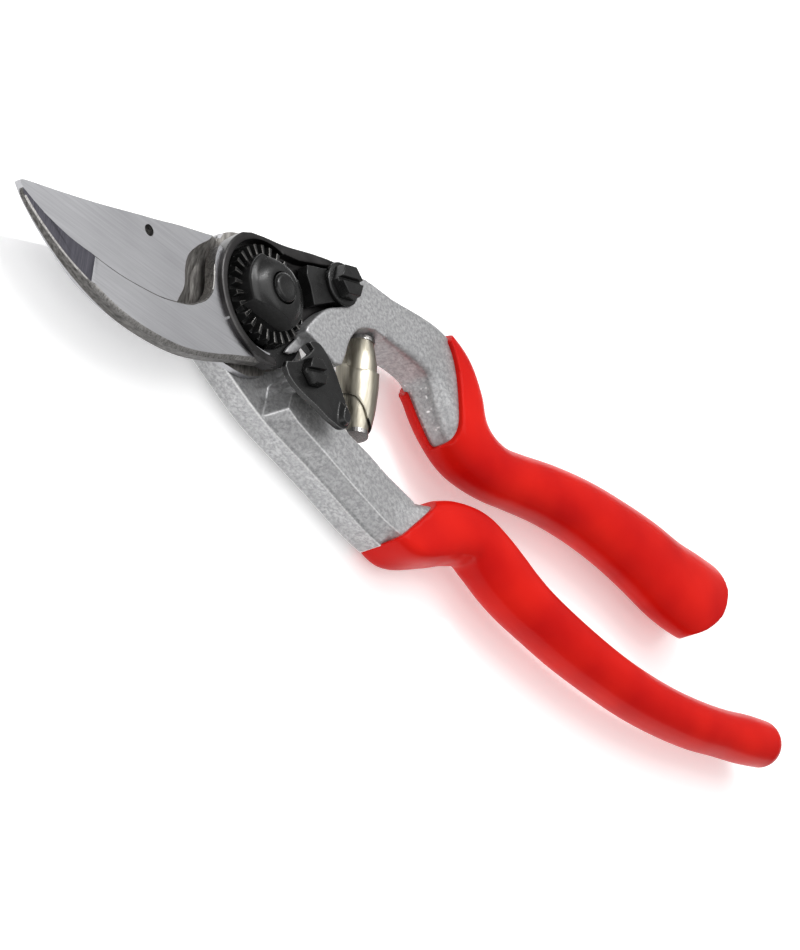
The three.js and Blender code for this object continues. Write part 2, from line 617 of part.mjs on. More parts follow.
function thumbCatch() {
  const body = plate(catchOutline(), CATCH_Z0, CATCH_Z0 + CATCH_T, 0.5);
  const thumb = plate(smooth([[22.4, -13.4], [26.2, -14.8], [27.4, -17.4], [25.6, -20.4],
    [22.6, -20.8], [21.0, -17.0]], 20), CATCH_Z0 + 1, CATCH_Z0 + CATCH_T + 1.6, 0.7);
  const noseKept = sector(RIM_BORE_R, 40, -26, 20, 0, CLEAR);
  const clear = cylinder(CATCH_CLEAR_R, 0, CLEAR, [0, 0], 64).subtract(noseKept);
  return body.add(thumb)
    .subtract(clear)
    .subtract(cylinder(SCREW_SHANK_R + GAP, 0, CLEAR, CATCH_PIVOT, 20));
}

function catchWasher() {
  return cylinder(WASHER_R, RAISED_Z1 + GAP, CATCH_Z0 - GAP, CATCH_PIVOT, 28)
    .subtract(cylinder(SCREW_SHANK_R + GAP, 0, CLEAR, CATCH_PIVOT, 20));
}

// ---- spring, seats, cushion ----------------------------------------------
// places a body built along +Z so that it runs from the short to the long handle
function alongSpring(body, offset) {
  const dx = SPRING_BOTTOM[0] - SPRING_TOP[0];
  const dy = SPRING_BOTTOM[1] - SPRING_TOP[1];
  const lean = THREE.MathUtils.radToDeg(Math.atan2(dx, -dy));
  return body.translate([0, 0, offset])
    .rotate([90, 0, 0])
    .rotate([0, 0, lean])
    .translate([SPRING_TOP[0], SPRING_TOP[1], SPRING_Z]);
}

function springLength() {
  return Math.hypot(SPRING_BOTTOM[0] - SPRING_TOP[0], SPRING_BOTTOM[1] - SPRING_TOP[1]);
}

// flat strip wound in a tapering spiral whose coils slide inside one another
function voluteSpring() {
  const steps = Math.round(SPRING_TURNS * 26);
  const drop = springLength() - 2 * SEAT_T - SPRING_STRIP_W - 2 * GAP;
  const positions = [];
  const index = [];
  for (let k = 0; k <= steps; k += 1) {
    const t = k / steps;
    const angle = t * SPRING_TURNS * 2 * Math.PI;
    const radius = SPRING_R_BIG - (SPRING_R_BIG - SPRING_R_SMALL) * t;
    const base = drop * t;
    const corners = [[radius, base], [radius - SPRING_STRIP_T, base],
      [radius - SPRING_STRIP_T, base + SPRING_STRIP_W], [radius, base + SPRING_STRIP_W]];
    corners.forEach(([r, h]) => positions.push(r * Math.cos(angle), r * Math.sin(angle), h));
    if (k > 0) {
      for (let i = 0; i < 4; i += 1) {
        const a = (k - 1) * 4 + i;
        const b = (k - 1) * 4 + ((i + 1) % 4);
        index.push(a, b, a + 4, b, b + 4, a + 4);
      }
    }
  }
  const end = steps * 4;
  index.push(0, 2, 1, 0, 3, 2, end, end + 1, end + 2, end, end + 2, end + 3);
  const geometry = new THREE.BufferGeometry();
  geometry.setAttribute('position', new THREE.BufferAttribute(new Float32Array(positions), 3));
  geometry.setIndex(index);
  const body = solid(geometry);
  const strip = body.volume() > 0 ? body : solid(flipped(geometry));
  return alongSpring(strip, SEAT_T + GAP);
}

function upperSpringSeat() {
  const seat = cylinder(SEAT_R, 0, SEAT_T, [0, 0], 28);
  return alongSpring(seat, 0.4);
}

function lowerSpringSeat() {
  const end = SEAT_STEM + SEAT_T;
  const seat = turned([[0, 0], [SEAT_STEM_R, 0], [SEAT_STEM_R, SEAT_STEM], [SEAT_R - 0.6, SEAT_STEM],
    [SEAT_R - 0.6, end], [0, end]], [0, 0], 28);
  return alongSpring(seat, springLength() - end);
}

function rubberCushion() {
  return plate(points([[18.8, -8.2], [23.2, -8.2], [23.0, -6.2], [19.4, -6.0]]),
    RAISED_Z1 - 4, RAISED_Z1 + 1.9, 0.4);
}

// ---- assembly ------------------------------------------------------------
const group = new THREE.Group();
group.name = 'pruning_shears';

function place(name, body, material) {
  const mesh = new THREE.Mesh(geometryOf(body), new THREE.MeshStandardMaterial(LOOKS[material]));
  mesh.name = name;
  group.add(mesh);
}

place('upper_handle', upperHandle(), 'aluminium');
place('upper_grip', upperGrip(), 'red');
place('counter_blade', counterBlade(), 'steel');
TANG_SCREWS.forEach((at, i) => place(`counter_blade_screw_${i + 1}`, tangScrew(at), 'steel'));
place('pivot_bolt', pivotBolt(), 'black');
place('toothed_nut', toothedNut(), 'black');
place('toothed_segment', toothedSegment(), 'black');
place('segment_screw', slottedHexScrew(SEGMENT_SCREW, HEAD_Z1 + 1.2 + GAP, 6, 20), 'black');
place('upper_spring_seat', upperSpringSeat(), 'aluminium');
place('lower_handle', lowerHandle(), 'aluminium');
place('lower_grip', lowerGrip(), 'red');
place('cutting_blade', cuttingBlade(), 'steel');
place('blade_screw', bladeScrew(), 'black');
place('blade_pin', bladePin(), 'steel');
place('pivot_bush', pivotBush(), 'steel');
place('rubber_cushion', rubberCushion(), 'rubber');
place('lower_spring_seat', lowerSpringSeat(), 'steel');
place('catch_screw', slottedHexScrew(CATCH_PIVOT, CATCH_Z0 + CATCH_T + GAP, 8, -15), 'black');
place('catch_washer', catchWasher(), 'steel');
place('thumb_catch', thumbCatch(), 'black');
place('volute_spring', voluteSpring(), 'spring');

export default group;
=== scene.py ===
"""Bypass pruning shears, closed and latched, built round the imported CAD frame."""
import math

import bmesh
import bpy
import numpy as np
from mathutils import Matrix, Vector


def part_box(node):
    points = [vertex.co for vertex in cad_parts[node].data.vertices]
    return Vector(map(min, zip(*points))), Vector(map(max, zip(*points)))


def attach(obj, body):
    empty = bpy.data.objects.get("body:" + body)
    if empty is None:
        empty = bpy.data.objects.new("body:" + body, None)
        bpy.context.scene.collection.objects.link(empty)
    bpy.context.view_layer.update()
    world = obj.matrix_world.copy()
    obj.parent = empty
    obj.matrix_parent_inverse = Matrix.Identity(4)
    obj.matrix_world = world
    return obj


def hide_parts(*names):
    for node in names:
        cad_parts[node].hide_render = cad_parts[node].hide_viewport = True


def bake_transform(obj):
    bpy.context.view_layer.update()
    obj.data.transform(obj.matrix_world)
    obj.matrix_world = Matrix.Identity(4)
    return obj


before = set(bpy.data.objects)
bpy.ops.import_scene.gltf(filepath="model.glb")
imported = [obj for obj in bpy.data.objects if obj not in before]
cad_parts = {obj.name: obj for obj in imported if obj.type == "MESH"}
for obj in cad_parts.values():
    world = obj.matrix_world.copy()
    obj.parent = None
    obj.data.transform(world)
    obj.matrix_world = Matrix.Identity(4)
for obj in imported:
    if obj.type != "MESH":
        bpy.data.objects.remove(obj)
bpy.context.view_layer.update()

MM = 0.001

# ---- levels and sizes in mm; levels named after a node come from the frame -


def span(node):
    """Lowest and highest corner of a CAD node, in mm."""
    low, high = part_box(node)
    return low / MM, high / MM


PLATE_Z0 = span("lower_handle")[0].z          # back face of the long handle
BLADE_Z0 = span("cutting_blade")[0].z
BLADE_Z1 = span("cutting_blade")[1].z
BLADE_FLOOR = BLADE_Z0 + 1.5                  # front of the blade's thin part round the hub
HOOK_Z0 = span("counter_blade")[0].z
HOOK_Z1 = span("counter_blade")[1].z
NUT_Z0 = span("toothed_nut")[0].z
CATCH_Z0 = span("thumb_catch")[0].z
BOLT_TOP = span("pivot_bolt")[1].z
ARM_Z = 12.1                                  # mid height of the short handle's arm
ARM_HALF_T = 5.1
PLATE_Z1 = BLADE_Z0 - 0.3                     # front face of the long handle's back plate
RAISED_Z1 = 13.0                              # top of its raised part
RIM_Z1 = 16.2                                 # top of the rim round the nut
GRIP_Z = 10.5                                 # mid height of both grips
SKIN = 1.2                                    # thickness of the red coating

ABOVE = 30                                    # higher than every piece, where cutters end

BOLT_HEAD_R = 8.5
BOLT_SHANK_R = 5.0
BOLT_END_R = 3.3
BOLT_STEP_Z = 12.0                            # where the shank steps down to the threaded end
BOLT_ROOM_R = 7.3                             # hole of the long handle, with room for the bush
RIM_CENTRE = (0.2, -1.1)
RIM_R = 15.0
RIM_BORE_R = 13.1
RECESS_Z = 13.9                               # floor of the locking segment's recess
HUB_R = 15.7
HUB_ROOM_R = HUB_R + 0.5
HOOK_DISH_Z = HOOK_Z0 + 0.9                   # floor of the hook's dished hub
NUT_R = 11.2
NUT_TEETH = 26
NUT_TOP = 20.3
NUT_DOME_R = 8.5
NUT_FLAT = 5.8
SEGMENT_SCREW = (20.5, 14.0)
SEGMENT_Z0 = 14.2
SEGMENT_Z1 = 17.0
CATCH_SCREW = (14.0, -12.6)
CATCH_TOP = CATCH_Z0 + 2.4
CATCH_THICK = 1.4
SAP_HOLE = (-32.8, -2.2)
SAP_HOLE_R = 1.3
SPRING_TOP = (34.0, 9.4)
SPRING_BOTTOM = (35.9, -14.6)
SPRING_Z = 12.0


# ---- curves ----------------------------------------------------------------


def catmull(points, per=10, closed=False):
    """Smooth line through points of any width, with `per` steps between neighbours."""
    pts = np.array(points, float)
    n = len(pts)
    if closed:
        ring = np.vstack([pts[-1], pts, pts[0], pts[1]])
        spans = n
    else:
        ring = np.vstack([2 * pts[0] - pts[1], pts, 2 * pts[-1] - pts[-2]])
        spans = n - 1
    out = []
    for k in range(spans):
        p0, p1, p2, p3 = ring[k:k + 4]
        for j in range(per):
            t = j / per
            out.append(0.5 * (2 * p1 + (p2 - p0) * t + (2 * p0 - 5 * p1 + 4 * p2 - p3) * t * t
                              + (3 * p1 - p0 - 3 * p2 + p3) * t ** 3))
    if not closed:
        out.append(pts[-1])
    return np.array(out)


def arc(radius, start, end, steps, centre=(0, 0)):
    """Points on a circle from start to end degrees."""
    angles = np.radians(np.linspace(start, end, steps + 1))
    return np.column_stack([centre[0] + radius * np.cos(angles), centre[1] + radius * np.sin(angles)])


# ---- mesh building ---------------------------------------------------------


def mesh_object(name, verts, faces):
    """Mesh from vertices in mm."""
    mesh = bpy.data.meshes.new(name)
    mesh.from_pydata([tuple(v) for v in np.asarray(verts, float) * MM], [], [list(f) for f in faces])
    bm = bmesh.new()
    bm.from_mesh(mesh)
    bmesh.ops.remove_doubles(bm, verts=bm.verts, dist=1e-7)
    bmesh.ops.recalc_face_normals(bm, faces=bm.faces)
    bm.to_mesh(mesh)
    bm.free()
    obj = bpy.data.objects.new(name, mesh)
    bpy.context.scene.collection.objects.link(obj)
    return obj


def skin_sections(name, sections):
    """Closed body from a list of equal-length section loops."""
    sections = np.asarray(sections, float)
    rows, cols = sections.shape[:2]
    faces = []
    for k in range(rows - 1):
        low, high = k * cols, (k + 1) * cols
        for i in range(cols):
            j = (i + 1) % cols
            faces.append((low + i, low + j, high + j, high + i))
    faces.append(tuple(range(cols)))
    faces.append(tuple(reversed(range((rows - 1) * cols, rows * cols))))
    return mesh_object(name, sections.reshape(-1, 3), faces)


def prism(name, outline, z0, z1, top=None):
    """Upright prism; `top` may give another outline with as many points for the upper end."""
    low = np.asarray(outline, float)
    high = low if top is None else np.asarray(top, float)
    sections = [np.column_stack([low, np.full(len(low), z0)]), np.column_stack([high, np.full(len(high), z1)])]
    return skin_sections(name, sections)


def lathe(name, profile, centre=(0, 0), steps=64):
    """Body of revolution from (radius, height) pairs; ends on the axis are closed."""
    rows = []
    for k in range(steps):
        a = 2 * math.pi * k / steps
        rows.append([(centre[0] + r * math.cos(a), centre[1] + r * math.sin(a), z) for r, z in profile])
    verts = np.array(rows).reshape(-1, 3)
    cols = len(profile)
    faces = []
    for k in range(steps):
        n = (k + 1) % steps
        for i in range(cols - 1):
            faces.append((k * cols + i, n * cols + i, n * cols + i + 1, k * cols + i + 1))
        if profile[0][0] > 1e-6:
            faces.append((k * cols, k * cols + cols - 1, n * cols + cols - 1, n * cols))
    obj = mesh_object(name, verts, faces)
    bm = bmesh.new()
    bm.from_mesh(obj.data)
    bmesh.ops.dissolve_degenerate(bm, edges=bm.edges, dist=1e-7)
    bmesh.ops.recalc_face_normals(bm, faces=bm.faces)
    bm.to_mesh(obj.data)
    bm.free()
    return obj


def applied(obj):
    """Replaces the object's mesh by its modified mesh."""
    graph = bpy.context.evaluated_depsgraph_get()
    mesh = bpy.data.meshes.new_from_object(obj.evaluated_get(graph))
    obj.modifiers.clear()
    old = obj.data
    obj.data = mesh
    bpy.data.meshes.remove(old)
    return obj


def boolean(obj, others, operation):
    """Applies one operation with each of the others, which are used up."""
    for other in others:
        mod = obj.modifiers.new(operation, "BOOLEAN")
        mod.operation = operation
        mod.solver = "EXACT"
        mod.object = other
        applied(obj)
        bpy.data.objects.remove(other)
    return obj


def joined(name, parts):
    """One object that holds all the parts' meshes."""
    bm = bmesh.new()
    for part in parts:
        bm.from_mesh(part.data)
        bpy.data.objects.remove(part)
    mesh = bpy.data.meshes.new(name)
    bm.to_mesh(mesh)
    bm.free()
    obj = bpy.data.objects.new(name, mesh)
    bpy.context.scene.collection.objects.link(obj)
    return obj


def cast(obj, voxel=0.35, smooth=5):
    """Soft-edged forging: one even skin with its edges rounded off."""
    remesh = obj.modifiers.new("skin", "REMESH")
    remesh.mode = "VOXEL"
    remesh.voxel_size = voxel * MM * 1
    remesh.use_smooth_shade = True
    soften = obj.modifiers.new("soften", "SMOOTH")
    soften.factor = 0.5
    soften.iterations = smooth
    applied(obj)
    return shade(obj, 180)


def crisp(obj, width=0.12, segments=2, angle=32):
    """Machined piece: small bevels on its edges."""
    bevel = obj.modifiers.new("edge", "BEVEL")
    bevel.width = width * MM
    bevel.segments = segments
    bevel.limit_method = "ANGLE"
    bevel.angle_limit = math.radians(angle)
    bevel.harden_normals = False
    applied(obj)
    return shade(obj, 40)


def shade(obj, angle):
    """Smooth shading that breaks at edges sharper than angle degrees; 180 breaks nowhere."""
    mesh = obj.data
    mesh.polygons.foreach_set("use_smooth", [True] * len(mesh.polygons))
    if angle < 180:
        mesh.set_sharp_from_angle(angle=math.radians(angle))
        flat = obj.modifiers.new("flat", "WEIGHTED_NORMAL")
        flat.keep_sharp = True
        applied(obj)
    return obj


def finished(obj, material, body, nodes):
    """Gives a piece its material, its body and the CAD nodes it stands for."""
    obj.data.materials.clear()
    obj.data.materials.append(material)
    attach(obj, body)
    if nodes:
        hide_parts(*nodes)
    return obj


def paint(obj, material, chosen):
    """Second material on the faces for which chosen(centre in mm, normal) is true."""
    obj.data.materials.append(material)
    index = len(obj.data.materials) - 1
    for polygon in obj.data.polygons:
        if chosen(polygon.center / MM, polygon.normal):
            polygon.material_index = index
    return obj


def cylinder(name, radius, z0, z1, centre=(0, 0), steps=64):
    return prism(name, arc(radius, 0, 360, steps, centre)[:-1], z0, z1)


def box(name, low, high):
    outline = [(low[0], low[1]), (high[0], low[1]), (high[0], high[1]), (low[0], high[1])]
    return prism(name, outline, low[2], high[2])


# ---- lofts -----------------------------------------------------------------
# A station is (x, y, half width, mid height, half thickness, squareness).


def loft(name, stations, grow=0.0, sides=48, per=8):
    """Body through the stations with rounded-square sections, all grown by `grow` mm."""
    line = catmull(stations, per)
    place = line[:, [0, 1, 3]]
    padded = np.pad(np.gradient(place[:, :2], axis=0), ((per // 2, per // 2), (0, 0)), "edge")
    tangent = np.column_stack([np.convolve(padded[:, k], np.ones(2 * (per // 2) + 1), "valid") for k in (0, 1)])
    tangent /= np.linalg.norm(tangent, axis=1)[:, None]
    side = np.column_stack([-tangent[:, 1], tangent[:, 0]])
    angles = np.arange(sides) * 2 * math.pi / sides
    cosines, sines = np.cos(angles), np.sin(angles)
    sections = []
    for k, (centre, s) in enumerate(zip(place, side)):
        half, thick, square = line[k, 2] + grow, line[k, 4] + grow, line[k, 5]
        u = np.sign(cosines) * np.abs(cosines) ** (2 / square) * half
        v = np.sign(sines) * np.abs(sines) ** (2 / square) * thick
        sections.append(np.column_stack([centre[0] + s[0] * u, centre[1] + s[1] * u, centre[2] + v]))
    return skin_sections(name, sections)


SHORT_ARM = [
    (24, 14.4, 5.6, ARM_Z, ARM_HALF_T, 8),
    (32, 15.0, 5.3, ARM_Z, ARM_HALF_T, 8),
    (42, 15.9, 5.8, ARM_Z, ARM_HALF_T, 7),
    (50, 16.6, 6.5, ARM_Z, ARM_HALF_T, 5.5),
    (55.8, 16.3, 7.3, ARM_Z - 0.2, ARM_HALF_T, 4.8),
    (61.3, 13.8, 8.4, ARM_Z - 0.5, ARM_HALF_T + 0.1, 4.0),
    (65.8, 9.5, 8.5, ARM_Z - 0.9, ARM_HALF_T + 0.2, 3.4),
    (69.5, 5.8, 8.0, ARM_Z - 1.2, 5.4, 2.6),
    (73.8, 3.4, 7.1, GRIP_Z + 0.1, 5.4, 2.3),
    (79, 2.4, 6.1, GRIP_Z, 5.4, 2.1),
    (85, 2.6, 5.6, GRIP_Z, 5.3, 2),
    (92, 4.2, 5.6, GRIP_Z, 5.3, 2),
]
SHORT_PALM = [
    (104, 7.2, 6.1, GRIP_Z, 5.6, 2),
    (117, 9.3, 6.9, GRIP_Z, 5.8, 2),
    (130, 10.1, 7.8, GRIP_Z, 5.9, 2),
    (142, 9.9, 8.8, GRIP_Z, 5.9, 2.1),
    (153, 8.9, 9.8, GRIP_Z, 5.8, 2.1),
    (162, 9.3, 10.3, GRIP_Z, 5.5, 2.1),
    (170, 10.4, 9.9, GRIP_Z, 4.8, 2.1),
    (178, 11.0, 9.9, GRIP_Z, 4.2, 2.1),
]
PALM_END = [(157.8, -5.6), (161.4, -2.8), (166.4, 0.8), (170.6, 6.6), (172.2, 13.0), (171.2, 17.4),
            (168.0, 20.8)]
LONG_SHANK = [
    (44, -23.8, 4.6, 7.9, 5.0, 6),
    (50, -25.6, 4.9, 7.9, 5.1, 6),
    (57, -26.3, 6.1, 8.0, 5.6, 5),
    (64.5, -23.4, 5.9, 9.0, 5.6, 3.2),
    (71, -20.0, 5.8, 9.8, 5.6, 2.6),
    (78, -18.1, 5.6, GRIP_Z, 5.5, 2.2),
    (84.4, -19.4, 6.4, GRIP_Z, 5.6, 2),
    (90.6, -21.6, 6.6, GRIP_Z, 5.6, 2),
    (96.7, -23.5, 6.2, GRIP_Z, 5.5, 2),
]
LONG_PALM = [
    (104.4, -25.0, 5.6, GRIP_Z, 5.4, 2),
    (116.7, -26.5, 5.3, GRIP_Z, 5.4, 2),
    (130.6, -27.2, 4.9, GRIP_Z, 5.3, 2),
    (143, -27.0, 4.8, GRIP_Z, 5.3, 2),
    (155, -25.8, 4.7, GRIP_Z, 5.3, 2),
    (167.5, -23.6, 4.7, GRIP_Z, 5.2, 2),
    (178, -20.9, 4.6, GRIP_Z, 5.0, 2),
    (187.5, -18.2, 4.9, GRIP_Z, 4.9, 2),
    (195.2, -16.0, 4.7, GRIP_Z, 4.5, 2),
    (198.2, -14.6, 2.9, GRIP_Z, 3.0, 2),
    (199.4, -14.3, 1.2, GRIP_Z, 1.2, 2),
]


def rounded_end(stations, reach):
    """Closes the last station with a dome `reach` mm long."""
    x, y, half, z, thick, square = stations[-1]
    px, py = stations[-2][:2]
    length = math.hypot(x - px, y - py)
    dx, dy = (x - px) / length, (y - py) / length
    dome = []
    for k in range(1, 6):
        a = math.radians(18 * k - 2)
        c = max(math.cos(a), 0.03)
        dome.append((x + dx * reach * math.sin(a), y + dy * reach * math.sin(a), half * c, z, thick * c, square))
    return list(stations) + dome


# ---- materials -------------------------------------------------------------


class Nodes:
    """Short-hand for building a node material."""

    def __init__(self, name):
        self.material = bpy.data.materials.new(name)
        self.material.use_nodes = True
        self.tree = self.material.node_tree
        self.shader = self.tree.nodes["Principled BSDF"]
        self.coords = self.add("ShaderNodeTexCoord").outputs["Object"]

    def add(self, kind, **settings):
        node = self.tree.nodes.new(kind)
        for key, value in settings.items():
            setattr(node, key, value)
        return node

    def link(self, a, b):
        self.tree.links.new(a, b)

    def stretched(self, scale, turn=(0, 0, 0)):
        mapping = self.add("ShaderNodeMapping")
        mapping.inputs["Scale"].default_value = scale
        mapping.inputs["Rotation"].default_value = [math.radians(v) for v in turn]
        self.link(self.coords, mapping.inputs["Vector"])
        return mapping.outputs["Vector"]

    def noise(self, size_mm, detail=2.0, rough=0.5, vector=None):
        node = self.add("ShaderNodeTexNoise")
        node.inputs["Scale"].default_value = 1.0 / (size_mm * MM)
        node.inputs["Detail"].default_value = detail
        node.inputs["Roughness"].default_value = rough
        self.link(vector if vector is not None else self.coords, node.inputs["Vector"])
        return node.outputs["Fac"]

    def cells(self, size_mm):
        node = self.add("ShaderNodeTexVoronoi")
        node.inputs["Scale"].default_value = 1.0 / (size_mm * MM)
        self.link(self.coords, node.inputs["Vector"])
        return node.outputs["Distance"]

    def ramp(self, value, stops):
        node = self.add("ShaderNodeValToRGB")
        ramp = node.color_ramp
        while len(ramp.elements) < len(stops):
            ramp.elements.new(0.5)
        for element, (position, colour) in zip(ramp.elements, stops):
            element.position = position
            element.color = (*colour, 1)
        self.link(value, node.inputs["Fac"])
        return node.outputs["Color"]

    def span(self, value, low, high, from_low=0.0, from_high=1.0):
        node = self.add("ShaderNodeMapRange")
        node.inputs["From Min"].default_value = from_low
        node.inputs["From Max"].default_value = from_high
        node.inputs["To Min"].default_value = low
        node.inputs["To Max"].default_value = high
        self.link(value, node.inputs["Value"])
        return node.outputs["Result"]

    def mix(self, factor, a, b, blend="MIX"):
        node = self.add("ShaderNodeMix", data_type="RGBA", blend_type=blend)
        for socket, value in ((node.inputs["Factor"], factor), (node.inputs["A"], a), (node.inputs["B"], b)):
            if isinstance(value, bpy.types.NodeSocket):
                self.link(value, socket)
            elif isinstance(value, tuple):
                socket.default_value = (*value, 1)
            else:
                socket.default_value = value
        return next(s for s in node.outputs if s.type == "RGBA")

    def bump(self, height, strength, distance_mm, below=None):
        node = self.add("ShaderNodeBump")
        node.inputs["Strength"].default_value = strength
        node.inputs["Distance"].default_value = distance_mm * MM
        self.link(height, node.inputs["Height"])
        if below is not None:
            self.link(below, node.inputs["Normal"])
        return node.outputs["Normal"]

    def edges(self, low=0.5, high=0.56):
        node = self.add("ShaderNodeNewGeometry")
        return self.span(node.outputs["Pointiness"], 0.0, 1.0, low, high)

    def set(self, **values):
        for key, value in values.items():
            socket = self.shader.inputs[key.replace("_", " ")]
            if isinstance(value, bpy.types.NodeSocket):
                self.link(value, socket)
            elif isinstance(value, tuple):
                socket.default_value = (*value, 1)
            else:
                socket.default_value = value
        return self.material


def cast_aluminium(name, edge_low, edge_high):
    """Sand-blasted casting; its edges turn bright between the two pointiness values, partly as wear and partly as
    a painted highlight.
    """
    n = Nodes(name)
    grain = n.noise(0.45, 4, 0.65)
    crackle = n.noise(0.75, 4, 0.6)
    clouds = n.noise(4.5, 2, 0.5)
    colour = n.ramp(crackle, [(0.36, (0.27, 0.27, 0.275)), (0.5, (0.37, 0.37, 0.375)),
                              (0.62, (0.48, 0.48, 0.485))])
    colour = n.mix(n.span(clouds, 0.0, 0.5, 0.35, 0.7), colour, (0.33, 0.33, 0.335))
    colour = n.mix(n.span(grain, 0.0, 0.35, 0.5, 0.75), colour, (0.18, 0.18, 0.185))
    # painted highlight and wear: edges found by pointiness are lightened
    colour = n.mix(n.edges(edge_low, edge_high), colour, (0.90, 0.90, 0.90))
    normal = n.bump(crackle, 0.25, 0.08, n.bump(grain, 0.35, 0.05))
    return n.set(Base_Color=colour, Metallic=0.62, Roughness=n.span(grain, 0.32, 0.56), Normal=normal)


def brushed_steel():
    n = Nodes("brushed_steel")
    streaks = n.noise(0.32, 3, 0.7, n.stretched((0.02, 1.0, 1.0), (0, 0, -14)))
    broad = n.noise(16.0, 2, 0.4)
    colour = n.ramp(streaks, [(0.3, (0.36, 0.36, 0.375)), (0.7, (0.46, 0.46, 0.475))])
    colour = n.mix(n.span(broad, 0.0, 0.4, 0.35, 0.7), colour, (0.30, 0.30, 0.315))
    normal = n.bump(streaks, 0.10, 0.02)
    return n.set(Base_Color=colour, Metallic=1.0, Roughness=n.span(streaks, 0.30, 0.44), Normal=normal)


def painted_shade_and_glint_steel():
    # Dark scratched steel used as painted shade on the hook's sides, its inner burr bevel and the sap hole's
    # wall, and as a painted glint on the black nut's tooth flanks
    n = Nodes("painted_shade_and_glint_steel")
    scratches = n.noise(0.5, 3, 0.6, n.stretched((0.25, 1.0, 1.0), (0, 0, -20)))
    colour = n.ramp(scratches, [(0.35, (0.035, 0.033, 0.031)), (0.65, (0.13, 0.125, 0.12))])
    return n.set(Base_Color=colour, Metallic=0.7, Roughness=n.span(scratches, 0.36, 0.52),
                 Normal=n.bump(scratches, 0.2, 0.03))


def wheel_ground():
    n = Nodes("wheel_ground_steel")
    streaks = n.noise(0.7, 3, 0.65, n.stretched((1.0, 0.16, 1.0), (0, 0, 18)))
    colour = n.ramp(streaks, [(0.3, (0.14, 0.13, 0.12)), (0.5, (0.30, 0.285, 0.27)), (0.7, (0.52, 0.50, 0.47))])
    return n.set(Base_Color=colour, Metallic=0.85, Roughness=n.span(streaks, 0.34, 0.50),
                 Normal=n.bump(streaks, 0.15, 0.03))


def facet_painted_reflection():
    # Dark colour is a painted reflection: the tilted tip facet reflects darker than the hook's face
    n = Nodes("facet_painted_reflection")
    scratches = n.noise(0.3, 3, 0.6, n.stretched((1.0, 0.05, 1.0), (0, 0, 60)))
    colour = n.ramp(scratches, [(0.3, (0.040, 0.039, 0.047)), (0.7, (0.075, 0.073, 0.086))])
    return n.set(Base_Color=colour, Metallic=1.0, Roughness=n.span(scratches, 0.28, 0.42),
                 Normal=n.bump(scratches, 0.1, 0.02))


def ground_steel():
    n = Nodes("ground_steel")
    scratches = n.noise(0.35, 3, 0.6, n.stretched((1.0, 0.05, 1.0), (0, 0, 40)))
    colour = n.ramp(scratches, [(0.3, (0.15, 0.145, 0.14)), (0.7, (0.36, 0.35, 0.34))])
    return n.set(Base_Color=colour, Metallic=1.0, Roughness=n.span(scratches, 0.22, 0.40),
                 Normal=n.bump(scratches, 0.12, 0.02))


def black_steel(name, highlit_edges):
    """Blackened steel; dense meshes also get a painted highlight along their edges."""
    n = Nodes(name)
    grain = n.noise(0.5, 3, 0.6)
    smears = n.noise(5.0, 2, 0.6)
    colour = n.ramp(smears, [(0.3, (0.005, 0.005, 0.005)), (0.75, (0.016, 0.016, 0.016))])
    if highlit_edges:
        # painted highlight: edges found by pointiness are lightened
        colour = n.mix(n.edges(0.52, 0.60), colour, (0.32, 0.32, 0.32))
    return n.set(Base_Color=colour, Metallic=0.2, Specular_IOR_Level=0.35, Roughness=n.span(smears, 0.20, 0.34),
                 Normal=n.bump(grain, 0.15, 0.03))


def dark_steel():
    # Dark colour is painted shade and dark reflection on the rim round the nut and in its recess
    n = Nodes("dark_steel_painted_shade")
    grain = n.noise(0.6, 3, 0.6)
    smears = n.noise(7.0, 2, 0.6)
    colour = n.ramp(smears, [(0.3, (0.025, 0.024, 0.024)), (0.75, (0.075, 0.072, 0.072))])
    # painted highlight: edges found by pointiness are lightened
    colour = n.mix(n.edges(0.53, 0.66), colour, (0.40, 0.40, 0.40))
    return n.set(Base_Color=colour, Metallic=0.95, Roughness=n.span(grain, 0.24, 0.36),
                 Normal=n.bump(grain, 0.12, 0.03))


def nickel():
    n = Nodes("nickel")
    streaks = n.noise(0.8, 2, 0.6, n.stretched((1.0, 0.06, 1.0), (0, 0, 5)))
    colour = n.ramp(streaks, [(0.3, (0.30, 0.275, 0.22)), (0.7, (0.50, 0.47, 0.39))])
    return n.set(Base_Color=colour, Metallic=1.0, Roughness=n.span(streaks, 0.26, 0.38),
                 Normal=n.bump(streaks, 0.06, 0.02))


def red_coating():
    n = Nodes("red_coating")
    waves = n.noise(14.0, 2, 0.4)
    fine = n.noise(0.6, 2, 0.5)
    colour = n.ramp(waves, [(0.3, (0.47, 0.005, 0.004)), (0.7, (0.60, 0.011, 0.006))])
    normal = n.bump(waves, 0.12, 0.25, n.bump(fine, 0.05, 0.02))
    return n.set(Base_Color=colour, Roughness=n.span(fine, 0.30, 0.38), Specular_IOR_Level=0.03, Coat_Weight=0.12,
                 Coat_Roughness=0.05, Normal=normal)


def black_rubber():
    n = Nodes("black_rubber")
    grain = n.noise(0.4, 3, 0.6)
    return n.set(Base_Color=n.ramp(grain, [(0.3, (0.012, 0.012, 0.012)), (0.7, (0.03, 0.03, 0.03))]),
                 Roughness=n.span(grain, 0.6, 0.8), Normal=n.bump(grain, 0.3, 0.05))


def floor_paint():
    n = Nodes("pale_floor")
    cloud = n.noise(120.0, 2, 0.4)
    return n.set(Base_Color=n.ramp(cloud, [(0.3, (0.93, 0.93, 0.93)), (0.7, (0.96, 0.96, 0.96))]), Roughness=0.9,
                 Emission_Color=(1, 1, 1), Emission_Strength=0.28)


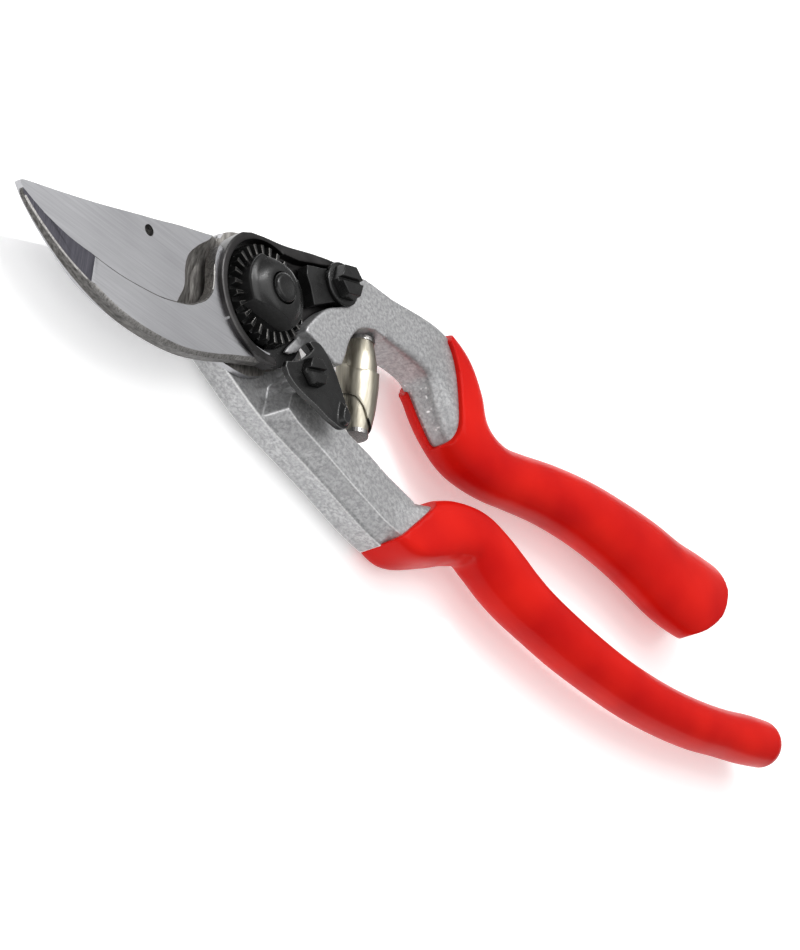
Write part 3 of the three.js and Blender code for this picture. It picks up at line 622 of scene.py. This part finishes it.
ALUMINIUM = cast_aluminium("cast_aluminium", 0.509, 0.56)
ALUMINIUM_SOFT = cast_aluminium("cast_aluminium_soft", 0.56, 0.72)
STEEL = brushed_steel()
GROUND = ground_steel()
FACET = facet_painted_reflection()
SHADE_AND_GLINT = painted_shade_and_glint_steel()
SLOPE = wheel_ground()
BLACK = black_steel("black_steel", False)
BLACK_EDGE_HIGHLIT = black_steel("black_steel_edge_highlight", True)
DARK = dark_steel()
NICKEL = nickel()
RED = red_coating()
RUBBER_AND_DARK_REFLECTION = black_rubber()


# ---- short handle ----------------------------------------------------------

POCKET_EDGE = [(10.3, -4.0), (11.9, -1.4), (14.3, 2.4), (17.2, 6.0), (21.2, 8.8), (25.3, 12.0), (27.6, 15.2),
               (28.2, 17.6)]
HEAD_LOWER = [(11.4, -3.2), (13.4, -3.4), (17.0, -4.4), (21.6, -5.6)]
HEAD_WEDGE = [(8.8, -8.9), (10.4, -8.5), (12.6, -6.7), (14.6, -3.9), (16.6, -1.6), (13.6, -1.2), (9.4, -7.4)]
HEAD_THROAT = [(23.8, -4.6), (24.6, -1.5), (25.6, 3.0), (28.5, 7.4), (33.0, 9.7)]


def short_end_cut(name, grow):
    """Everything beyond the slanted end of the palm grip."""
    shift = np.array([0.8, -0.6]) * (grow - SKIN)
    line = catmull(np.array(PALM_END) + shift, 6)
    outline = np.vstack([[(148, -40)], line, [(150, 40), (220, 40), (220, -40)]])
    return prism(name, outline, -10, 40)


def short_handle():
    arm = loft("arm", SHORT_ARM + SHORT_PALM[:2])
    body_outline = np.vstack([[(8.0, 13.0), (8.0, -3.0)], HEAD_LOWER, catmull(HEAD_THROAT, 6),
                              [(37, 9.8), (37, 20.4), (27.5, 20.2)]])
    head = prism("head", body_outline, HOOK_Z0 + 0.1, ARM_Z + ARM_HALF_T)
    web = prism("web", [(25, 4.6), (30, 9.8), (37, 9.9), (37, 20.3), (24, 19.7)], ARM_Z - ARM_HALF_T,
                ARM_Z + ARM_HALF_T)
    bore = cylinder("bore", NUT_R + 0.6, 0, ABOVE, steps=96)
    pocket = prism("pocket", np.vstack([catmull(POCKET_EDGE, 6), [(27.6, 24), (0, 24), (0, -2.2)]]),
                   HOOK_Z0 - 1, ABOVE)
    boolean(head, [bore, pocket], "DIFFERENCE")
    wedge = prism("wedge", HEAD_WEDGE, HOOK_Z0 + 1.1, HOOK_Z0 + 2.0)
    obj = cast(joined("short_handle_metal", [head, web, arm, wedge]), 0.25, 10)
    return finished(obj, ALUMINIUM_SOFT, "upper", ["upper_handle"])


LIP_OUTER = [(-7.4, 11.3), (-3.0, 12.6), (3.2, 14.2), (12.0, 17.4), (19.8, 19.6), (28.0, 20.2)]
LIP_INNER = [(27.0, 19.0), (20.0, 18.2), (13.0, 15.4), (8.0, 13.2), (3.0, 12.0)]


def head_cover():
    """Dark dished head round the nut, with the recess of the locking segment; its dark colour is painted shade
    and dark reflection, besides a black coating in the recess.
    """
    outline = np.vstack([arc(RIM_R, 133, 288, 50, RIM_CENTRE), arc(RIM_BORE_R - 0.4, 288, 350, 12, RIM_CENTRE),
                         catmull(POCKET_EDGE, 6)[6:], catmull(LIP_OUTER[::-1], 5)])
    body = prism("cover", outline, HOOK_Z0 + 0.2, RIM_Z1)
    bore = cylinder("bore", RIM_BORE_R, 0, ABOVE, RIM_CENTRE, 96)
    recess_outline = np.vstack([[(2.0, 4.0), (9, -3)], catmull(POCKET_EDGE, 6)[6:-8], LIP_INNER])
    recess = prism("recess", recess_outline, RECESS_Z, ABOVE)
    boolean(body, [bore, recess], "DIFFERENCE")
    obj = cast(body, 0.22, 4)
    return finished(obj, DARK, "upper", [])


def short_grip():
    obj = loft("short_grip", SHORT_ARM[4:] + SHORT_PALM, SKIN, sides=56)
    boolean(obj, [short_end_cut("end", SKIN)], "DIFFERENCE")
    border = np.vstack([catmull([(49.0, 27.0), (54.2, 22.8), (57.8, 20.6), (60.4, 17.2), (62.4, 12.6),
                                 (64.0, 7.3), (65.2, 2.4), (64.8, -1.0), (62.0, -2.2), (58.6, 0.6),
                                 (54.0, 6.4), (51.4, 8.0)], 8), [(40, 8.0), (40, 27)]])
    front = prism("front", border, ARM_Z - 3.2, 40)
    back = prism("back", [(40, 40), (57.5, 40), (57.5, 14), (54.0, 6.8), (52.5, -10), (40, -10)],
                 -10, ARM_Z - 3.0)
    boolean(obj, [front, back], "DIFFERENCE")
    obj = cast(obj, 0.4, 6)
    return finished(obj, RED, "upper", ["upper_grip"])


# ---- long handle -----------------------------------------------------------

PLATE_OUTER = [(-6.4, -15.6), (3.6, -20.3), (9.6, -22.7), (15.3, -24.2), (30.3, -27.7), (40.3, -30.4),
               (46, -31.8), (52, -32.6)]
PLATE_INNER = [(52, -20.4), (46.3, -18.6), (39.9, -16.8), (32.9, -15.6), (27.6, -13.0), (23.8, -8.4),
               (19.6, -1.0), (16.4, 3.6)]
RAISED_TOP = [(13.2, -20.2), (17.0, -21.9), (26.3, -24.4), (36.3, -27.3), (46.9, -30.0), (56, -31.0),
              (56, -20.6), (46.3, -18.9), (39.9, -17.1), (32.9, -15.9), (27.6, -13.3), (24.0, -8.9),
              (17.4, -8.9), (13.9, -15.4)]
RAISED_FOOT = [(9.7, -22.7), (15.3, -24.1), (25.7, -26.3), (35.5, -29.0), (46.4, -31.9), (56, -32.6),
               (56, -20.2), (46.5, -18.5), (40.1, -16.7), (33.1, -15.5), (28.0, -12.9), (24.6, -8.4),
               (15.6, -7.6), (10.4, -14.8)]


def long_handle():
    shank = loft("shank", LONG_SHANK + LONG_PALM[:3])
    outline = np.vstack([arc(HUB_R, 20, 238, 44), catmull(PLATE_OUTER, 5), catmull(PLATE_INNER, 5)])
    plate = prism("plate", outline, PLATE_Z0, PLATE_Z1)
    raised = prism("raised", RAISED_FOOT, PLATE_Z1 - 0.8, RAISED_Z1, RAISED_TOP)
    hub_room = cylinder("hub_room", HUB_ROOM_R, PLATE_Z1 + 0.05, ABOVE, steps=96)
    bolt_room = cylinder("bolt_room", BOLT_ROOM_R, -5, ABOVE)
    wheel = [(0, PLATE_Z1 + 0.2), (HUB_ROOM_R, PLATE_Z1 + 0.2), (18.2, 9.6), (20.0, 11.0), (21.4, 13.4),
             (0, 13.4)]
    boolean(raised, [hub_room, lathe("scoop", wheel, steps=96)], "DIFFERENCE")
    boolean(plate, [bolt_room], "DIFFERENCE")
    obj = cast(joined("long_handle_metal", [plate, raised, shank]), 0.24, 3)
    return finished(obj, ALUMINIUM, "lower", ["lower_handle"])


def long_grip():
    obj = loft("long_grip", rounded_end(LONG_SHANK[1:] + LONG_PALM[:-2], 5.2), SKIN, sides=56)
    border = [(30, -60), (48.6, -60), (50.2, -34.0), (53.6, -29.6), (57.6, -24.4), (61.6, -19.0), (64.4, -14.0),
              (64, 0), (30, 0)]
    boolean(obj, [prism("border", border, -10, 40)], "DIFFERENCE")
    obj = cast(obj, 0.4, 6)
    return finished(obj, RED, "lower", ["lower_grip"])


# ---- blades ----------------------------------------------------------------

HOOK_OUTER = [(-69.0, -14.6), (-68.2, -16.1), (-63.5, -19.5), (-56.4, -23.4), (-49.3, -26.0), (-42.1, -27.6),
              (-35.7, -28.0), (-27.8, -27.4), (-20.5, -25.9), (-13.1, -23.0), (-5.9, -19.4), (0.6, -16.4),
              (6.0, -14.0)]
HOOK_INNER = [(-13.6, 6.9), (-15.6, 2.6), (-15.9, -1.6), (-15.4, -5.2), (-15.6, -8.0), (-17.0, -10.9),
              (-19.2, -13.0), (-22.0, -15.0), (-28.8, -17.5), (-34.5, -18.6), (-41.6, -19.4), (-48.8, -19.4),
              (-55.9, -18.8), (-63.1, -17.0), (-69.0, -14.6)]
BLADE_BACK = [(-69.0, -12.2), (-67.1, -11.2), (-57.8, -8.2), (-47.1, -4.5), (-37.1, -0.7), (-30.6, 1.7),
              (-24.3, 4.2), (-14.6, 7.6), (-10.6, 10.0)]
BLADE_EDGE = [(7.6, -13.9), (5.8, -15.4), (2.3, -17.2), (-1.4, -17.9), (-5.0, -18.2), (-9.0, -18.9),
              (-14, -20.2), (-22, -22.8), (-32, -24.6), (-42, -24.4), (-51, -22.2), (-60, -18.4),
              (-66, -14.9), (-69.0, -12.2)]
SAP_STEP = [(-14.6, 8.8), (-15.3, 6.3), (-18.5, 2.7), (-20.8, -0.9), (-21.3, -4.5), (-20.8, -8.7),
            (-21.8, -12.3), (-23.4, -17.0), (-26.0, -26.5)]
TIP_X = -49.0
TIP_TAPER = math.radians(4.8)
HOOK_HUB_R = 14.5
RAMP_WIDTH = 4.4                    # wheel-ground slope from the blade's land to its hub
RAMP_STEPS = 6


def inset(line, distance):
    """Moves an open line sideways, to its left."""
    line = np.asarray(line, float)
    tangent = np.gradient(line, axis=0)
    tangent /= np.linalg.norm(tangent, axis=1)[:, None]
    return line + np.column_stack([-tangent[:, 1], tangent[:, 0]]) * distance


def tip_wedge(name, z, way):
    """Space above (way 1) or below (way -1) the tapering tip of a jaw."""
    reach = 40
    drop = reach * math.tan(TIP_TAPER)
    far = TIP_X - reach
    outline = [(TIP_X, z), (far, z - way * drop), (far, z + way * 10), (TIP_X, z + way * 10)]
    sections = [[(x, y, h) for x, h in outline] for y in (-60, 60)]
    return skin_sections(name, sections)


def hook_body():
    """The hook as an even plate, hub included."""
    outer = catmull(HOOK_OUTER, 6)
    inner = catmull(HOOK_INNER, 6)[:-1]
    hub = arc(HOOK_HUB_R, -62, 122, 24, RIM_CENTRE)
    outline = np.vstack([outer, hub, inner])
    return prism("counter_blade_steel", outline, HOOK_Z0, HOOK_Z1)


def tip_drop(x):
    """How far the front of the hook has dropped at x, towards the thin tip."""
    return max(0.0, TIP_X - x) * math.tan(TIP_TAPER)


def edge_chamfer(name, line, width, slope):
    """Cutter that slopes the hook's front edge along an outline which runs with the metal on its left."""
    sections = []
    reach = 3.0
    for (x, y), (ox, oy), (ax, ay) in zip(line, inset(line, -reach), inset(line, 1.0)):
        share = width if x > TIP_X else width * 0.4
        mx, my = x + (ax - x) * share, y + (ay - y) * share
        z = HOOK_Z1 - tip_drop(mx)
        sections.append([(mx, my, z), (mx, my, z + 4), (ox, oy, z + 4), (ox, oy, z - slope * (reach + share))])
    return skin_sections(name, sections)


def counter_blade():
    hook = hook_body()
    trim = box("trim", (3.6, -40, 0), (40, 40, ABOVE))
    dish = cylinder("dish", RIM_BORE_R, HOOK_DISH_Z, ABOVE, steps=96)
    bolt = cylinder("bolt", BOLT_END_R + 0.3, 0, ABOVE)
    upper = box("upper", (-40, 3.6, 0), (40, 40, ABOVE))
    chamfer = edge_chamfer("chamfer", catmull(HOOK_OUTER[1:], 6), 0.9, 0.65)
    burr = edge_chamfer("burr", catmull(HOOK_INNER[2:-1], 6), 0.32, 0.5)
    boolean(hook, [trim, upper, tip_wedge("tip", HOOK_Z1, 1), chamfer, burr], "DIFFERENCE")
    disc = cylinder("disc", HOOK_HUB_R - 0.1, HOOK_Z0, HOOK_DISH_Z, RIM_CENTRE, 96)
    boolean(hook, [dish], "DIFFERENCE")
    boolean(hook, [disc], "UNION")
    boolean(hook, [bolt], "DIFFERENCE")
    crisp(hook, 0.12)
    finished(hook, STEEL, "upper", ["counter_blade"])
    # painted reflection: the tilted tip facet is darkened
    paint(hook, FACET, lambda c, n: c.x < TIP_X and 0.99 < n.z < 0.9995 and c.z > HOOK_Z0 + 0.1)
    paint(hook, GROUND, lambda c, n: 0.5 < n.z < 0.95 and n.y < 0.1)
    # painted shade: the hook's sides and its inner burr bevel are darkened
    paint(hook, SHADE_AND_GLINT, lambda c, n: abs(n.z) < 0.5 or (n.z < 0.95 and n.y > 0.1))
    # painted shade: the dish floor under the nut, inside the rim, is black
    return paint(hook, BLACK, lambda c, n: (math.hypot(c.x, c.y) < RIM_BORE_R and n.z > 0.9
                                            and c.z < HOOK_Z0 + 1.0))


def blade_outline():
    back = catmull(BLADE_BACK, 5)
    edge = catmull(BLADE_EDGE, 5)[:-1]
    return np.vstack([back, arc(HUB_R - 0.3, 130, -62, 50), edge])


def blade_land():
    """Full-thickness front of the blade; a wheel-ground slope runs down from it to the hub."""
    step = catmull(SAP_STEP, 6)
    height = BLADE_Z1 - BLADE_FLOOR
    radius = (RAMP_WIDTH ** 2 + height ** 2) / (2 * height)
    rest = [(-40, -34), (-75, -20), (-75, 0), (-40, 14)]
    sections = []
    for k in range(RAMP_STEPS + 1):
        z = BLADE_FLOOR - 0.2 if k == 0 else BLADE_FLOOR + height * (k / RAMP_STEPS) ** 1.6
        lift = max(z - BLADE_FLOOR, 0)
        run = RAMP_WIDTH - math.sqrt(radius ** 2 - (radius - lift) ** 2)
        outline = np.vstack([inset(step, run), rest])
        sections.append(np.column_stack([outline, np.full(len(outline), z)]))
    land = skin_sections("land", sections)
    return boolean(land, [prism("outline", blade_outline(), BLADE_Z0, ABOVE)], "INTERSECT")


def cutting_blade():
    body = prism("cutting_blade_steel", blade_outline(), BLADE_Z0, BLADE_FLOOR)
    boolean(body, [blade_land()], "UNION")
    boolean(body, [tip_wedge("tip", BLADE_Z0, -1), cylinder("bolt", BOLT_SHANK_R + 0.3, 0, ABOVE),
                   cylinder("sap", SAP_HOLE_R, 0, ABOVE, SAP_HOLE, 32)], "DIFFERENCE")
    crisp(body, 0.1)
    finished(body, STEEL, "lower", ["cutting_blade"])
    # painted shade on the sap hole's wall
    paint(body, SHADE_AND_GLINT, lambda c, n: abs(n.z) < 0.5 and math.dist((c.x, c.y), SAP_HOLE) < SAP_HOLE_R + 0.2)
    return paint(body, SLOPE, lambda c, n: n.z > 0.2 and c.x > -26 and BLADE_FLOOR - 0.05 < c.z < BLADE_Z1 - 0.01)


# ---- pivot group -----------------------------------------------------------


def nut_profile(root, top):
    """Washer-like root, straight wall and a shallow dome."""
    wall = top - 1.9
    profile = [(3.6, NUT_Z0), (NUT_R - 1.0, NUT_Z0), (NUT_R - 0.2, root), (NUT_DOME_R + 0.25, root),
               (NUT_DOME_R + 0.1, wall - 0.5), (NUT_DOME_R - 0.1, wall), (NUT_DOME_R - 0.5, wall + 0.25),
               (NUT_DOME_R - 1.0, wall + 0.3)]
    rise = top - wall - 0.3
    for k in range(1, 9):
        t = k / 8
        profile.append((NUT_DOME_R - 1.0 - (NUT_DOME_R - 5.0) * t, wall + 0.3 + rise * (1 - (1 - t) ** 2)))
    profile.append((3.6, top))
    return profile


def nut_tooth(index, root, crest):
    """One tooth of the crown: a ridge that stands on the root and narrows upwards and inwards."""
    a = 2 * math.pi * index / NUT_TEETH
    turn = np.array([[math.cos(a), math.sin(a)], [-math.sin(a), math.cos(a)]])
    low = [(NUT_DOME_R - 0.2, -0.7), (NUT_R + 0.1, -1.15), (NUT_R + 0.1, 1.15), (NUT_DOME_R - 0.2, 0.7)]
    high = [(NUT_DOME_R - 0.2, -0.25), (NUT_R - 0.3, -0.5), (NUT_R - 0.3, 0.5), (NUT_DOME_R - 0.2, 0.25)]
    return prism("tooth", np.array(low) @ turn, root - 0.9, crest, np.array(high) @ turn)


def toothed_nut():
    root = NUT_Z0 + 1.0
    nut = lathe("toothed_nut_steel", nut_profile(root, NUT_TOP), steps=96)
    flats = [box("flat", (-20, NUT_FLAT, root + 0.3), (20, 20, 40)),
             box("flat", (-20, -20, root + 0.3), (20, -NUT_FLAT, 40))]
    boolean(nut, flats, "DIFFERENCE")
    crisp(nut, 0.12, 2, 35)
    ring = joined("teeth", [nut_tooth(i, root, root + 1.7) for i in range(NUT_TEETH)])
    crisp(ring, 0.14, 1, 35)
    nut = joined("toothed_nut_steel", [nut, ring])
    shade(nut, 40)
    finished(nut, BLACK, "upper", ["toothed_nut"])
    # painted glint: the tooth flanks are lighter than the black nut
    paint(nut, SHADE_AND_GLINT, lambda c, n: math.hypot(c.x, c.y) > NUT_DOME_R + 0.3 and 0.3 < n.z < 0.9)
    # painted reflection: the steel nut's flats get the dark rubber material because they reflect dark
    return paint(nut, RUBBER_AND_DARK_REFLECTION, lambda c, n: abs(n.y) > 0.95 and abs(abs(c.y) - NUT_FLAT) < 0.05)


def pivot_bolt():
    r = BOLT_END_R
    head = [(0, 0), (BOLT_HEAD_R - 0.5, 0), (BOLT_HEAD_R - 0.15, 0.15), (BOLT_HEAD_R, 0.5), (BOLT_HEAD_R, 2.2)]
    shank = [(BOLT_SHANK_R, 2.2), (BOLT_SHANK_R, BOLT_STEP_Z)]
    end = [(r, BOLT_STEP_Z), (r, BOLT_TOP - 1.6), (r, BOLT_TOP - 0.7), (r - 0.2, BOLT_TOP - 0.25),
           (r - 0.7, BOLT_TOP), (r - 1.2, BOLT_TOP - 0.06), (0, BOLT_TOP - 0.25)]
    bolt = lathe("pivot_bolt_steel", head + shank + end)
    shade(bolt, 40)
    return finished(bolt, BLACK, "upper", ["pivot_bolt"])


def slotted_hex(name, at, z, radius, height, turn, body, node):
    """Hex head with a slot."""
    hexagon = arc(radius, turn, turn + 360, 6, at)[:-1]
    crown = arc(radius - 0.35, turn, turn + 360, 6, at)[:-1]
    head = prism(name, hexagon, z, z + height, crown)
    a = math.radians(turn)
    along, across = np.array([math.cos(a), math.sin(a)]), np.array([-math.sin(a), math.cos(a)])
    centre = np.array(at)
    slot_outline = [centre + along * 8 * u + across * 0.5 * v for u, v in ((-1, -1), (1, -1), (1, 1), (-1, 1))]
    boolean(head, [prism("slot", slot_outline, z + height - 1.1, z + 9)], "DIFFERENCE")
    crisp(head, 0.18, 2, 25)
    shank = lathe("shank", [(0, z - 4), (1.5, z - 4), (1.5, z + 0.2), (0, z + 0.2)], at, 24)
    head = joined(name, [head, shank])
    shade(head, 40)
    return finished(head, BLACK, body, [node])


def toothed_segment():
    """Locking plate whose grooves mesh with the nut, and the raised eye of its screw."""
    z0, z1 = SEGMENT_Z0, SEGMENT_Z1
    tail = [(11.4, 8.4), (13.2, 4.6), (18.2, 8.2), (21.6, 10.4), (19.6, 17.0), (9.6, 12.9), (9.8, 10.6)]
    body = prism("segment", tail, z0, z1)
    grooves = []
    for degrees in range(20, 54, 6):
        a = math.radians(degrees)
        turn = np.array([[math.cos(a), math.sin(a)], [-math.sin(a), math.cos(a)]])
        outline = np.array([(NUT_R - 1, -0.4), (NUT_R + 2.0, -0.4), (NUT_R + 2.0, 0.4), (NUT_R - 1, 0.4)]) @ turn
        grooves.append(prism("groove", outline, z0 - 1, z0 + 1.4))
    boolean(body, [cylinder("nut_room", NUT_R + 0.3, 0, ABOVE, steps=96)] + grooves, "DIFFERENCE")
    crisp(body, 0.25, 3, 30)
    eye = lathe("eye", [(0, z0), (4.5, z0), (4.5, z1 - 0.4), (4.2, z1), (5.0, z1 + 0.1), (5.0, z1 + 0.8),
                        (4.7, z1 + 1.1), (0, z1 + 1.1)], SEGMENT_SCREW)
    shade(eye, 40)
    obj = joined("toothed_segment_steel", [body, eye])
    shade(obj, 40)
    return finished(obj, BLACK, "upper", ["toothed_segment"])


# ---- catch -----------------------------------------------------------------


def thumb_catch():
    """Catch plate with a nose cut to the rim of the head and a raised rest for the thumb."""
    outline = np.vstack([catmull([(11.6, -6.4), (13.0, -4.9), (15.2, -4.3), (17.0, -4.9), (19.2, -6.3),
                                  (21.2, -8.1), (23.3, -10.7), (25.7, -13.8), (27.3, -16.2), (27.0, -18.8),
                                  (25.2, -20.2), (22.8, -20.3), (20.2, -20.1), (16.7, -19.3), (12.8, -18.8),
                                  (9.4, -18.0), (7.2, -16.9)], 5), [(5.9, -15.2), (6.0, -13.6), (8.6, -10.9)]])
    body = prism("catch", outline, CATCH_TOP - CATCH_THICK, CATCH_TOP)
    nose_side = cylinder("clear", 15.2, 0, 40, steps=96)
    keep = prism("keep", [(0, 0), (40, -19), (40, 20), (0, 20)], -1, 41)
    boolean(nose_side, [keep], "DIFFERENCE")
    nose_room = cylinder("nose_room", RIM_BORE_R, 0, 40, steps=96)
    thumb_foot = catmull([(23.2, -13.6), (25.4, -14.6), (27.0, -16.6), (26.6, -18.9), (24.9, -19.9),
                          (22.9, -19.2)], 5, closed=True)
    thumb_crest = catmull([(24.4, -15.6), (25.5, -15.9), (26.3, -17.0), (26.2, -18.3), (25.3, -19.0),
                           (24.3, -18.2)], 5, closed=True)
    thumb = prism("thumb", thumb_foot, CATCH_TOP - 0.6, CATCH_TOP + 1.1, thumb_crest)
    boolean(body, [nose_side, nose_room], "DIFFERENCE")
    obj = cast(joined("thumb_catch_steel", [body, thumb]), 0.16, 4)
    # the catch's edges carry a painted highlight
    return finished(obj, BLACK_EDGE_HIGHLIT, "catch", ["thumb_catch"])


# ---- spring ----------------------------------------------------------------


def along_spring(points):
    """Places points given as (radius cos, radius sin, distance from the top) on the spring's axis."""
    top, bottom = np.array(SPRING_TOP), np.array(SPRING_BOTTOM)
    down = (bottom - top) / np.linalg.norm(bottom - top)
    side = np.array([-down[1], down[0]])
    p = np.asarray(points, float)
    x = top[0] + side[0] * p[..., 0] + down[0] * p[..., 2]
    y = top[1] + side[1] * p[..., 0] + down[1] * p[..., 2]
    return np.stack([x, y, SPRING_Z + p[..., 1]], -1)


SPRING_TURNS = 2.3
SPRING_START = 230                  # degrees, where the outer end of the strip lies
SPRING_THICK = 0.45
SPRING_STEP = 0.55                  # how much each turn is smaller than the one round it
SPRING_ENVELOPE = [(0, 3.7), (2, 4.1), (6, 4.9), (12, 4.9), (18, 4.4), (24, 3.3)]
STRIP_EDGE = [(0, 14.8), (0.14, 15.4), (0.24, 16.4), (0.31, 18.4), (0.37, 20.6), (0.44, 21.6), (0.8, 23.6)]
STRIP_START = [(0, 4.4), (0.22, 9.8), (0.4, 9.6), (0.7, 6.0), (1.0, 0.8)]


def volute_spring():
    """Steel strip wound into a cone, stretched between the handles as they open."""
    steps = int(SPRING_TURNS * 64)
    shares = np.linspace(0, 1, 9)
    sections = []
    for k in range(steps + 1):
        turn = SPRING_TURNS * k / steps
        a = math.radians(SPRING_START - 360 * turn)
        first = np.interp(turn, *zip(*STRIP_START))
        last = np.interp(turn, *zip(*STRIP_EDGE))
        heights = first + (last - first) * shares
        radii = np.interp(heights, *zip(*SPRING_ENVELOPE)) - SPRING_STEP * turn
        outer = list(zip(radii, heights))
        loop = outer + [(r - SPRING_THICK, h) for r, h in reversed(outer)]
        sections.append([(q * math.cos(a), q * math.sin(a), h) for q, h in loop])
    obj = skin_sections("volute_spring_steel", along_spring(sections))
    crisp(obj, 0.1, 2, 50)
    obj.data.materials.clear()
    obj.data.materials.append(NICKEL)
    # painted shade: the strip's edge faces are black, marking the shaded seam between the turns
    paint(obj, BLACK, lambda c, n: n.y < -0.75)
    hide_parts("volute_spring")
    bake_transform(obj)
    return obj


# ---- pieces that keep their CAD shape --------------------------------------

FINISHES = {
    "upper_spring_seat": GROUND,
    "lower_spring_seat": GROUND,
    "counter_blade_screw_1": STEEL,
    "counter_blade_screw_2": STEEL,
    "blade_screw": BLACK,
    "blade_pin": STEEL,
    "pivot_bush": GROUND,
    "catch_washer": GROUND,
    "rubber_cushion": RUBBER_AND_DARK_REFLECTION,
}


def dress(node, material):
    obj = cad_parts[node]
    obj.data.materials.clear()
    obj.data.materials.append(material)


# ---- stage -----------------------------------------------------------------


FLOOR_HALF = 3.0                    # metres
FLOOR_Z = -0.0002                   # metres, just under the part


def floor():
    mesh = bpy.data.meshes.new("floor")
    bm = bmesh.new()
    bmesh.ops.create_grid(bm, x_segments=8, y_segments=8, size=FLOOR_HALF)
    bm.to_mesh(mesh)
    bm.free()
    obj = bpy.data.objects.new("floor", mesh)
    bpy.context.scene.collection.objects.link(obj)
    obj.location = (0, 0, FLOOR_Z)
    obj.data.materials.append(floor_paint())


CAMERA_AIM = (61.9, -7.5, 3.0)      # mm
CAMERA_DISTANCE = 763.0
CAMERA_AZIMUTH = -141.06
CAMERA_ELEVATION = 34.22
CAMERA_ROLL = 71.1
CAMERA_LENS = 130.4


def camera():
    data = bpy.data.cameras.new("camera")
    data.lens = CAMERA_LENS
    data.sensor_width = 36
    data.clip_start = 0.01
    obj = bpy.data.objects.new("camera", data)
    bpy.context.scene.collection.objects.link(obj)
    azimuth, elevation = math.radians(CAMERA_AZIMUTH), math.radians(CAMERA_ELEVATION)
    towards = Vector((math.cos(elevation) * math.cos(azimuth), math.cos(elevation) * math.sin(azimuth),
                      math.sin(elevation)))
    turn = towards.to_track_quat("Z", "Y").to_matrix() @ Matrix.Rotation(math.radians(CAMERA_ROLL), 3, "Z")
    obj.matrix_world = Matrix.Translation((Vector(CAMERA_AIM) + towards * CAMERA_DISTANCE) * MM) @ turn.to_4x4()
    bpy.context.scene.camera = obj
    return obj


def softbox(name, place, aim, size, power):
    """Rectangular lamp; places and sizes in metres, power in watts."""
    data = bpy.data.lights.new(name, "AREA")
    data.shape = "RECTANGLE"
    data.size, data.size_y = size
    data.energy = power
    obj = bpy.data.objects.new(name, data)
    bpy.context.scene.collection.objects.link(obj)
    place, aim = Vector(place), Vector(aim)
    obj.matrix_world = Matrix.Translation(place) @ (place - aim).to_track_quat("Z", "Y").to_matrix().to_4x4()
    return obj


def sky():
    """White studio that is brightest overhead and falls off towards the horizon."""
    world = bpy.data.worlds.new("studio")
    world.use_nodes = True
    tree = world.node_tree
    place = tree.nodes.new("ShaderNodeTexCoord")
    split = tree.nodes.new("ShaderNodeSeparateXYZ")
    ramp = tree.nodes.new("ShaderNodeValToRGB")
    levels = [(0.0, 0.22), (0.25, 0.30), (0.55, 0.50), (1.0, 0.62)]
    while len(ramp.color_ramp.elements) < len(levels):
        ramp.color_ramp.elements.new(0.5)
    for element, (position, level) in zip(ramp.color_ramp.elements, levels):
        element.position = position
        element.color = (level, level, level, 1)
    tree.links.new(place.outputs["Generated"], split.inputs["Vector"])
    tree.links.new(split.outputs["Z"], ramp.inputs["Fac"])
    tree.links.new(ramp.outputs["Color"], tree.nodes["Background"].inputs["Color"])
    tree.nodes["Background"].inputs["Strength"].default_value = 1.0
    bpy.context.scene.world = world


LIGHT_AIM = (0.06, 0, 0)            # metres
SOFTBOXES = [                       # name, place, size, power
    ("key", (0.0, 0.38, 1.0), (1.3, 1.0), 6.6),
    ("fill", (-0.5, -0.6, 0.7), (0.9, 0.9), 4.2),
    ("strip", (-0.15, 0.47, 0.77), (0.6, 0.014), 3.2),
]


def lights():
    sky()
    for name, place, size, power in SOFTBOXES:
        softbox(name, place, LIGHT_AIM, size, power)
    bpy.context.scene.view_settings.view_transform = "Standard"


# ---- assembly --------------------------------------------------------------

camera()
lights()
floor()
short_handle()
head_cover()
short_grip()
long_handle()
long_grip()
counter_blade()
cutting_blade()
toothed_nut()
pivot_bolt()
toothed_segment()
slotted_hex("segment_screw_steel", SEGMENT_SCREW, 18.1, 4.2, 2.6, 20, "upper", "segment_screw")
slotted_hex("catch_screw_steel", CATCH_SCREW, CATCH_TOP + 0.1, 3.5, 2.0, 22, "lower", "catch_screw")
thumb_catch()
volute_spring()
for dressed_node, finish in FINISHES.items():
    dress(dressed_node, finish)
